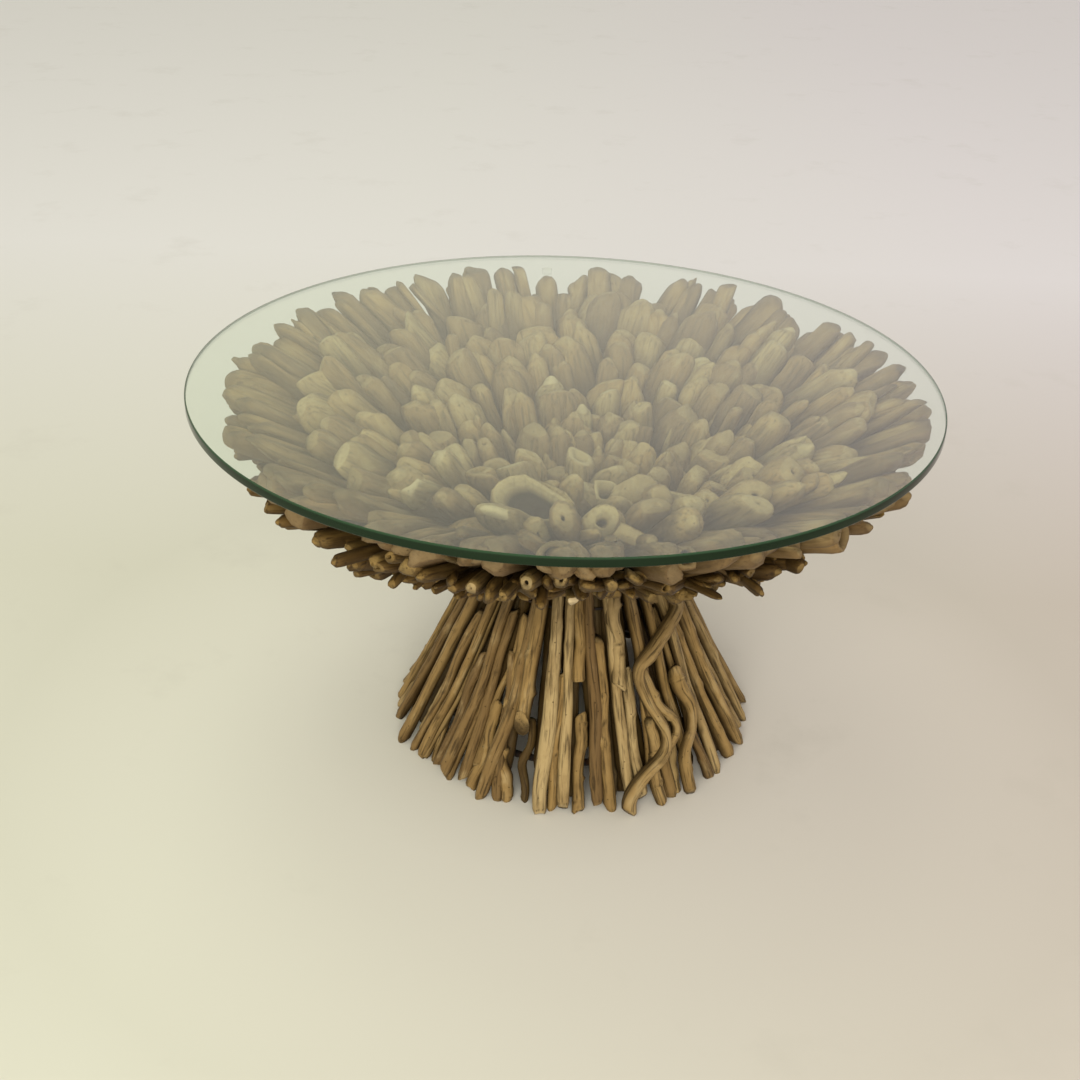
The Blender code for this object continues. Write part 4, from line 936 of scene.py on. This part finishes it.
stand_off = np.concatenate([np.full(RING, -INNER_SET_BACK), np.full(RING, -DEEP_SET_BACK),
                            RNG.uniform(-0.006, 0.002, len(STRAY_STICKS) + BEHIND)])
thick = np.concatenate([RNG.uniform(0.013, 0.0165, 2 * RING), STRAY_STICKS[:, 4],
                        RNG.uniform(0.011, 0.015, BEHIND)])
print("inner and stray sticks:", len(thick))

# %% [markdown]
# ## Thin shoots
# Thin shoots fill what is left between the sticks at the sides and the back. They are added to the same
# arrays, so that all the inner sticks become one piece, as they are one solid in the CAD model.

# %% Thin shoots
SHOOTS, SHOOT_SET_BACK = 40, 0.006
shoots = np.linspace(-62.0, 242.0, SHOOTS) + RNG.uniform(-3.0, 3.0, SHOOTS)
foot_deg = np.concatenate([foot_deg, shoots])
foot_z = np.concatenate([foot_z, np.maximum(0.0, RNG.uniform(-0.02, 0.03, SHOOTS))])
top_deg = np.concatenate([top_deg, shoots + RNG.uniform(-8.0, 8.0, SHOOTS)])
top_z = np.concatenate([top_z, RNG.uniform(0.09, 0.215, SHOOTS)])
stand_off = np.concatenate([stand_off, -SHOOT_SET_BACK + RNG.uniform(-0.004, 0.003, SHOOTS)])
thick = np.concatenate([thick, RNG.uniform(0.007, 0.011, SHOOTS)])
UNDER_STUB, UNDER_STUB_SET_BACK = 2 * RING + 6, 0.015  # the stray in the gap below the stub
KNOTTED, KNOT_SHARES = 2 * RING + 11, (0.48, 0.606)  # the stray with two knots, and where they are
knot_marks = [(KNOTTED, number, share) for number, share in enumerate(KNOT_SHARES)]
stand_off[UNDER_STUB] = -UNDER_STUB_SET_BACK
build_sticks("inner_sticks_wood", foot_deg, foot_z, top_deg, top_z, stand_off, thick,
             RNG.uniform(0.008, 0.030, len(thick)), "inner_sticks", marks=knot_marks)
print("with shoots:", len(thick))

# %% [markdown]
# ## Winding branches
# Two branches wind over the sticks at the front right. Their routes are the CAD routes, joined by a smooth
# curve. The long one splits: a side shoot bows out and comes back, and another runs down to the floor behind
# it.

# %% Winding branches
# Degrees from the stick that carries the branch, share of the stick's height, and depth between the sticks
LONG_ROUTE = ((0.0, 0.877, 0.0), (0.0, 0.779, 0.0), (-11.0, 0.730, 0.0), (-21.0, 0.675, 0.0),
              (-31.0, 0.598, 0.0), (-29.0, 0.463, 0.0), (-24.0, 0.320, 0.0), (-26.0, 0.230, 0.0),
              (-35.0, 0.156, 0.0), (-40.0, 0.082, 0.0), (-41.0, 0.020, 0.0))
SIDE_ROUTE = ((-28.5, 0.590, 0.008), (-25.0, 0.440, 0.003), (-19.0, 0.345, 0.0), (-20.5, 0.280, 0.0),
              (-26.5, 0.215, 0.004))
FOOT_ROUTE = ((-28.5, 0.360, 0.008), (-27.4, 0.240, 0.010), (-29.9, 0.150, 0.008), (-29.0, 0.015, 0.006))
SHORT_ROUTE = ((0.0, 0.553, 0.0), (0.0, 0.471, 0.0), (3.0, 0.377, 0.0), (1.0, 0.279, 0.0),
               (-5.0, 0.189, 0.0), (-6.0, 0.020, 0.0))
LONG_CARRIER, SHORT_CARRIER, BRANCH_STAND_OFF = 26, 25, 0.0173
BRANCH_RINGS = 72


def smooth_route(places, count):
    """Catmull-Rom curve through the places, as one cubic per span."""
    ends = np.concatenate([2.0 * places[:1] - places[1:2], places, 2.0 * places[-1:] - places[-2:-1]])
    at = np.linspace(0.0, len(places) - 1.000001, count)
    span, u = at.astype(int), (at % 1.0)[:, None]
    a, b, c, d = (ends[span + k] for k in range(4))
    square, cube = 2.0 * a - 5.0 * b + 4.0 * c - d, 3.0 * b - 3.0 * c + d - a
    return 0.5 * (2.0 * b + u * (c - a) + u ** 2 * square + u ** 3 * cube)


def branch_path(stick, route):
    """A route's places on the cone, BRANCH_STAND_OFF outside the sticks, joined by the smooth curve."""
    degrees, share, sunk = np.array(route).T
    angle = np.radians(STICK_TURN + (stick + 0.5) * 360.0 / STICK_COUNT + degrees)
    height = share * STICK_TOP
    places = turned(FOOT_RADIUS - CONE_SLOPE * height + BRANCH_STAND_OFF - sunk, 0.0, angle)
    places[:, 2] = height
    return smooth_route(places, BRANCH_RINGS)


long_paths = [branch_path(LONG_CARRIER, route) for route in (LONG_ROUTE, SIDE_ROUTE, FOOT_ROUTE)]
print("paths of the long branch:", len(long_paths))

# %% [markdown]
# ## Building the branches
# A branch is a stick along a winding path, so the same tubes serve. A loose twig that sticks out from under
# the bowl is made in the same way.

# %% Building the branches
BRANCH_KNOTS, BRANCH_WEATHER_AND_LIGHT, TWIG_RINGS = 7, 0.9, 24
TWIG = np.array([[0.150, -0.262, 0.355], [0.172, -0.258, 0.341], [0.195, -0.252, 0.321]])


def build_branch(name, paths, thick, shade, *nodes):
    """Winding tubes of slightly uneven thickness, with their bleached side turned outwards."""
    path = np.stack(paths)
    facing = unit((path - np.array([AXIS_X, 0.0, 0.0])) * np.array([1.0, 1.0, 0.0]))
    uneven = 1.0 + 0.12 * np.sin(np.linspace(0.0, 9.0, path.shape[1]))
    radius = 0.5 * np.array(thick)[:, None] * uneven
    weather_and_light = np.full(len(paths), BRANCH_WEATHER_AND_LIGHT)
    rings, grain, tone = stick_tubes(path, facing, radius, np.full(len(paths), shade), BRANCH_KNOTS, weather_and_light)
    rings[..., 2] = np.maximum(rings[..., 2], 0.0)
    return add_piece(name, tube_mesh(name, rings, grain, tone), stick_wood, "base", "stick_wood", *nodes)


build_branch("branch_long_wood", long_paths, (0.0150, 0.0115, 0.0130), 0.55, "branch_long")
build_branch("branch_short_wood", [branch_path(SHORT_CARRIER, SHORT_ROUTE)], (0.0140,), 0.45, "branch_short")
build_branch("loose_twig_wood", [smooth_route(TWIG, TWIG_RINGS)], (0.0065,), 0.0)
print("branches: 2, with two side shoots, and a twig under the bowl")

# %% [markdown]
# ## Rods, hub and pads
# The pieces inside keep their CAD shapes and only need a finish. The welded rods get a dark, slightly rusty
# coat; the hub gets plain wood with grain along one axis; the pads under the glass are clear and soft.

# %% Rods, hub and pads
rod_steel, tree, shader = new_finish("rusty_rod")
place = node(tree, "TexCoord").outputs["Object"]
rust = node(tree, "TexNoise", {"Vector": place, "Scale": 140.0, "Detail": 5.0})
rusty = remap(tree, rust.outputs["Fac"], 0.45, 0.65, 0.0, 1.0)
tree.links.new(blend_colours(tree, rusty, (0.030, 0.026, 0.024, 1.0), (0.085, 0.040, 0.018, 1.0)),
               shader.inputs["Base Color"])
tree.links.new(remap(tree, rust.outputs["Fac"], 0.4, 0.7, 0.40, 0.80), shader.inputs["Roughness"])
shader.inputs["Metallic"].default_value = 0.6

hub_wood, tree, shader = new_finish("hub_wood")
place = node(tree, "TexCoord").outputs["Object"]
stretched = node(tree, "Mapping", {"Vector": place, "Scale": (18.0, 160.0, 160.0)})
fibres = node(tree, "TexNoise", {"Vector": stretched.outputs[0], "Scale": 1.0, "Detail": 5.0})
tree.links.new(blend_colours(tree, fibres.outputs["Fac"], (0.12, 0.075, 0.035, 1.0), (0.34, 0.24, 0.13, 1.0)),
               shader.inputs["Base Color"])
shader.inputs["Roughness"].default_value = 0.8

pad_clear, tree, shader = new_finish("clear_pad")
place = node(tree, "TexCoord").outputs["Object"]
mist = node(tree, "TexNoise", {"Vector": place, "Scale": 260.0, "Detail": 2.0})
tree.links.new(remap(tree, mist.outputs["Fac"], 0.3, 0.7, 0.02, 0.12), shader.inputs["Roughness"])
shader.inputs["Base Color"].default_value = (0.96, 0.97, 0.95, 1.0)
shader.inputs["Transmission Weight"].default_value = 1.0
shader.inputs["IOR"].default_value = 1.04
print("inner finishes:", rod_steel.name, hub_wood.name, pad_clear.name)

# %% [markdown]
# ## Finish the inner pieces
# The frame's own meshes are kept, so each gets its finish by its name.

# %% Finish the inner pieces
for name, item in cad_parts.items():
    if name.startswith("rib_") or name.endswith("_hoop"):
        finish = rod_steel
    elif name.startswith("glass_pad"):
        finish = pad_clear
    elif name == "hub_disc":
        finish = hub_wood
    else:
        continue
    item.data.materials.clear()
    item.data.materials.append(finish)
print("finished the rods, the hub and the pads")

# %% [markdown]
# ## Glass pane
# The pane is a turned shape: half of its section, with softly ground edges, carried once round the axis. A
# cylinder with a bevel would do too, but the function for tubes above already closes any such section.

# %% Glass pane
GLASS_RADIUS, GLASS_TOP = 0.400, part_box("glass_top")[1][2]
GLASS_SEGMENTS, GROUND_EDGE, EDGE_STEPS, FACE_RING = 240, 0.0016, 5, 0.2
corner = np.linspace(0.0, 0.5 * math.pi, EDGE_STEPS)
upper_r = GLASS_RADIUS - GROUND_EDGE + GROUND_EDGE * np.sin(corner)
upper_z = GLASS_TOP - GROUND_EDGE + GROUND_EDGE * np.cos(corner)
lower_r = GLASS_RADIUS - GROUND_EDGE + GROUND_EDGE * np.cos(corner)
lower_z = GLASS_UNDERSIDE + GROUND_EDGE - GROUND_EDGE * np.sin(corner)
section_r = np.concatenate([[FACE_RING], upper_r, lower_r, [FACE_RING]])
section_z = np.concatenate([[GLASS_TOP], upper_z, lower_z, [GLASS_UNDERSIDE]])
round_angle = (np.arange(GLASS_SEGMENTS) * -TAU / GLASS_SEGMENTS)[None, None, :]
pane = np.stack(np.broadcast_arrays(section_r[None, :, None] * np.cos(round_angle),
                                    section_r[None, :, None] * np.sin(round_angle),
                                    section_z[None, :, None]), axis=-1)
glass_mesh = tube_mesh("glass_pane", pane, pane, pane)
print("glass:", len(glass_mesh.polygons), "faces")

# %% [markdown]
# ## Glass finishes
# The flat faces are clear, and lamps shine through them, so shadow rays pass as if nothing were there. The
# edge is dark green, because light that leaves there has crossed the whole pane. Where it is seen from
# inside, through the pane, it is painted a light grey-green: a painted reflection.

# %% Glass finishes
glass_clear, tree, shader = new_finish("clear_glass")
shader.inputs["Base Color"].default_value = (0.835, 0.912, 0.862, 1.0)
shader.inputs["Roughness"].default_value = 0.0
shader.inputs["IOR"].default_value = 1.52
shader.inputs["Transmission Weight"].default_value = 1.0
paths = node(tree, "LightPath")
lit_through = node(tree, "Math", {0: paths.outputs["Is Shadow Ray"], 1: paths.outputs["Is Diffuse Ray"]},
                   operation="MAXIMUM")
open_way = node(tree, "BsdfTransparent", {"Color": (0.90, 0.95, 0.92, 1.0)})
mix = node(tree, "MixShader", {0: lit_through.outputs[0], 1: shader.outputs[0], 2: open_way.outputs[0]})
tree.links.new(mix.outputs[0], tree.nodes["Material Output"].inputs["Surface"])

glass_edge, tree, shader = new_finish("green_glass_edge")
place = node(tree, "TexCoord").outputs["Object"]
waves = node(tree, "TexNoise", {"Vector": place, "Scale": 9.0, "Detail": 2.0})
level = node(tree, "SeparateXYZ", {0: place}).outputs["Z"]
height = remap(tree, level, GLASS_UNDERSIDE, GLASS_TOP, 0.0, 1.0)
deep = blend_colours(tree, waves.outputs["Fac"], (0.003, 0.011, 0.0035, 1.0), (0.006, 0.018, 0.006, 1.0))
# Painted reflection: light grey-green where the edge is seen from inside, through the pane
deep = blend_colours(tree, node(tree, "NewGeometry").outputs["Backfacing"], deep, (0.36, 0.39, 0.36, 1.0))
upper = remap(tree, height, 0.80, 1.0, 0.0, 0.6)
tree.links.new(blend_colours(tree, upper, deep, (0.040, 0.095, 0.045, 1.0)), shader.inputs["Base Color"])
shader.inputs["Roughness"].default_value = 0.12
shader.inputs["Specular IOR Level"].default_value = 0.20
print("glass finishes:", glass_clear.name, glass_edge.name)

# %% [markdown]
# ## Setting the pane
# Faces between the first and the last ring of the section belong to the edge. The pane rides on the body that
# lifts off, and everything else on the base.

# %% Setting the pane
glass_mesh.materials.append(glass_clear)
glass_mesh.materials.append(glass_edge)
ring_of_face = np.repeat(np.arange(len(section_r) - 1), GLASS_SEGMENTS)
edge_faces = (ring_of_face > 0) & (ring_of_face < len(section_r) - 2)
slots = np.zeros(len(glass_mesh.polygons), dtype=np.int32)
slots[:len(edge_faces)] = edge_faces
glass_mesh.polygons.foreach_set("material_index", slots)
glass_mesh.polygons.foreach_set("use_smooth", slots.astype(bool))
glass = bpy.data.objects.new("glass_pane", glass_mesh)
bpy.context.scene.collection.objects.link(glass)
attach(glass, "glass")
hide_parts("glass_top")
print("faces on the edge:", int(slots.sum()))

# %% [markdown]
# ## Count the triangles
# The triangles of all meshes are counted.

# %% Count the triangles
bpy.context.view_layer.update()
meshes = [item.data for item in bpy.data.objects if item.type == "MESH"]
print("triangles:", sum(len(mesh.loops) - 2 * len(mesh.polygons) for mesh in meshes))
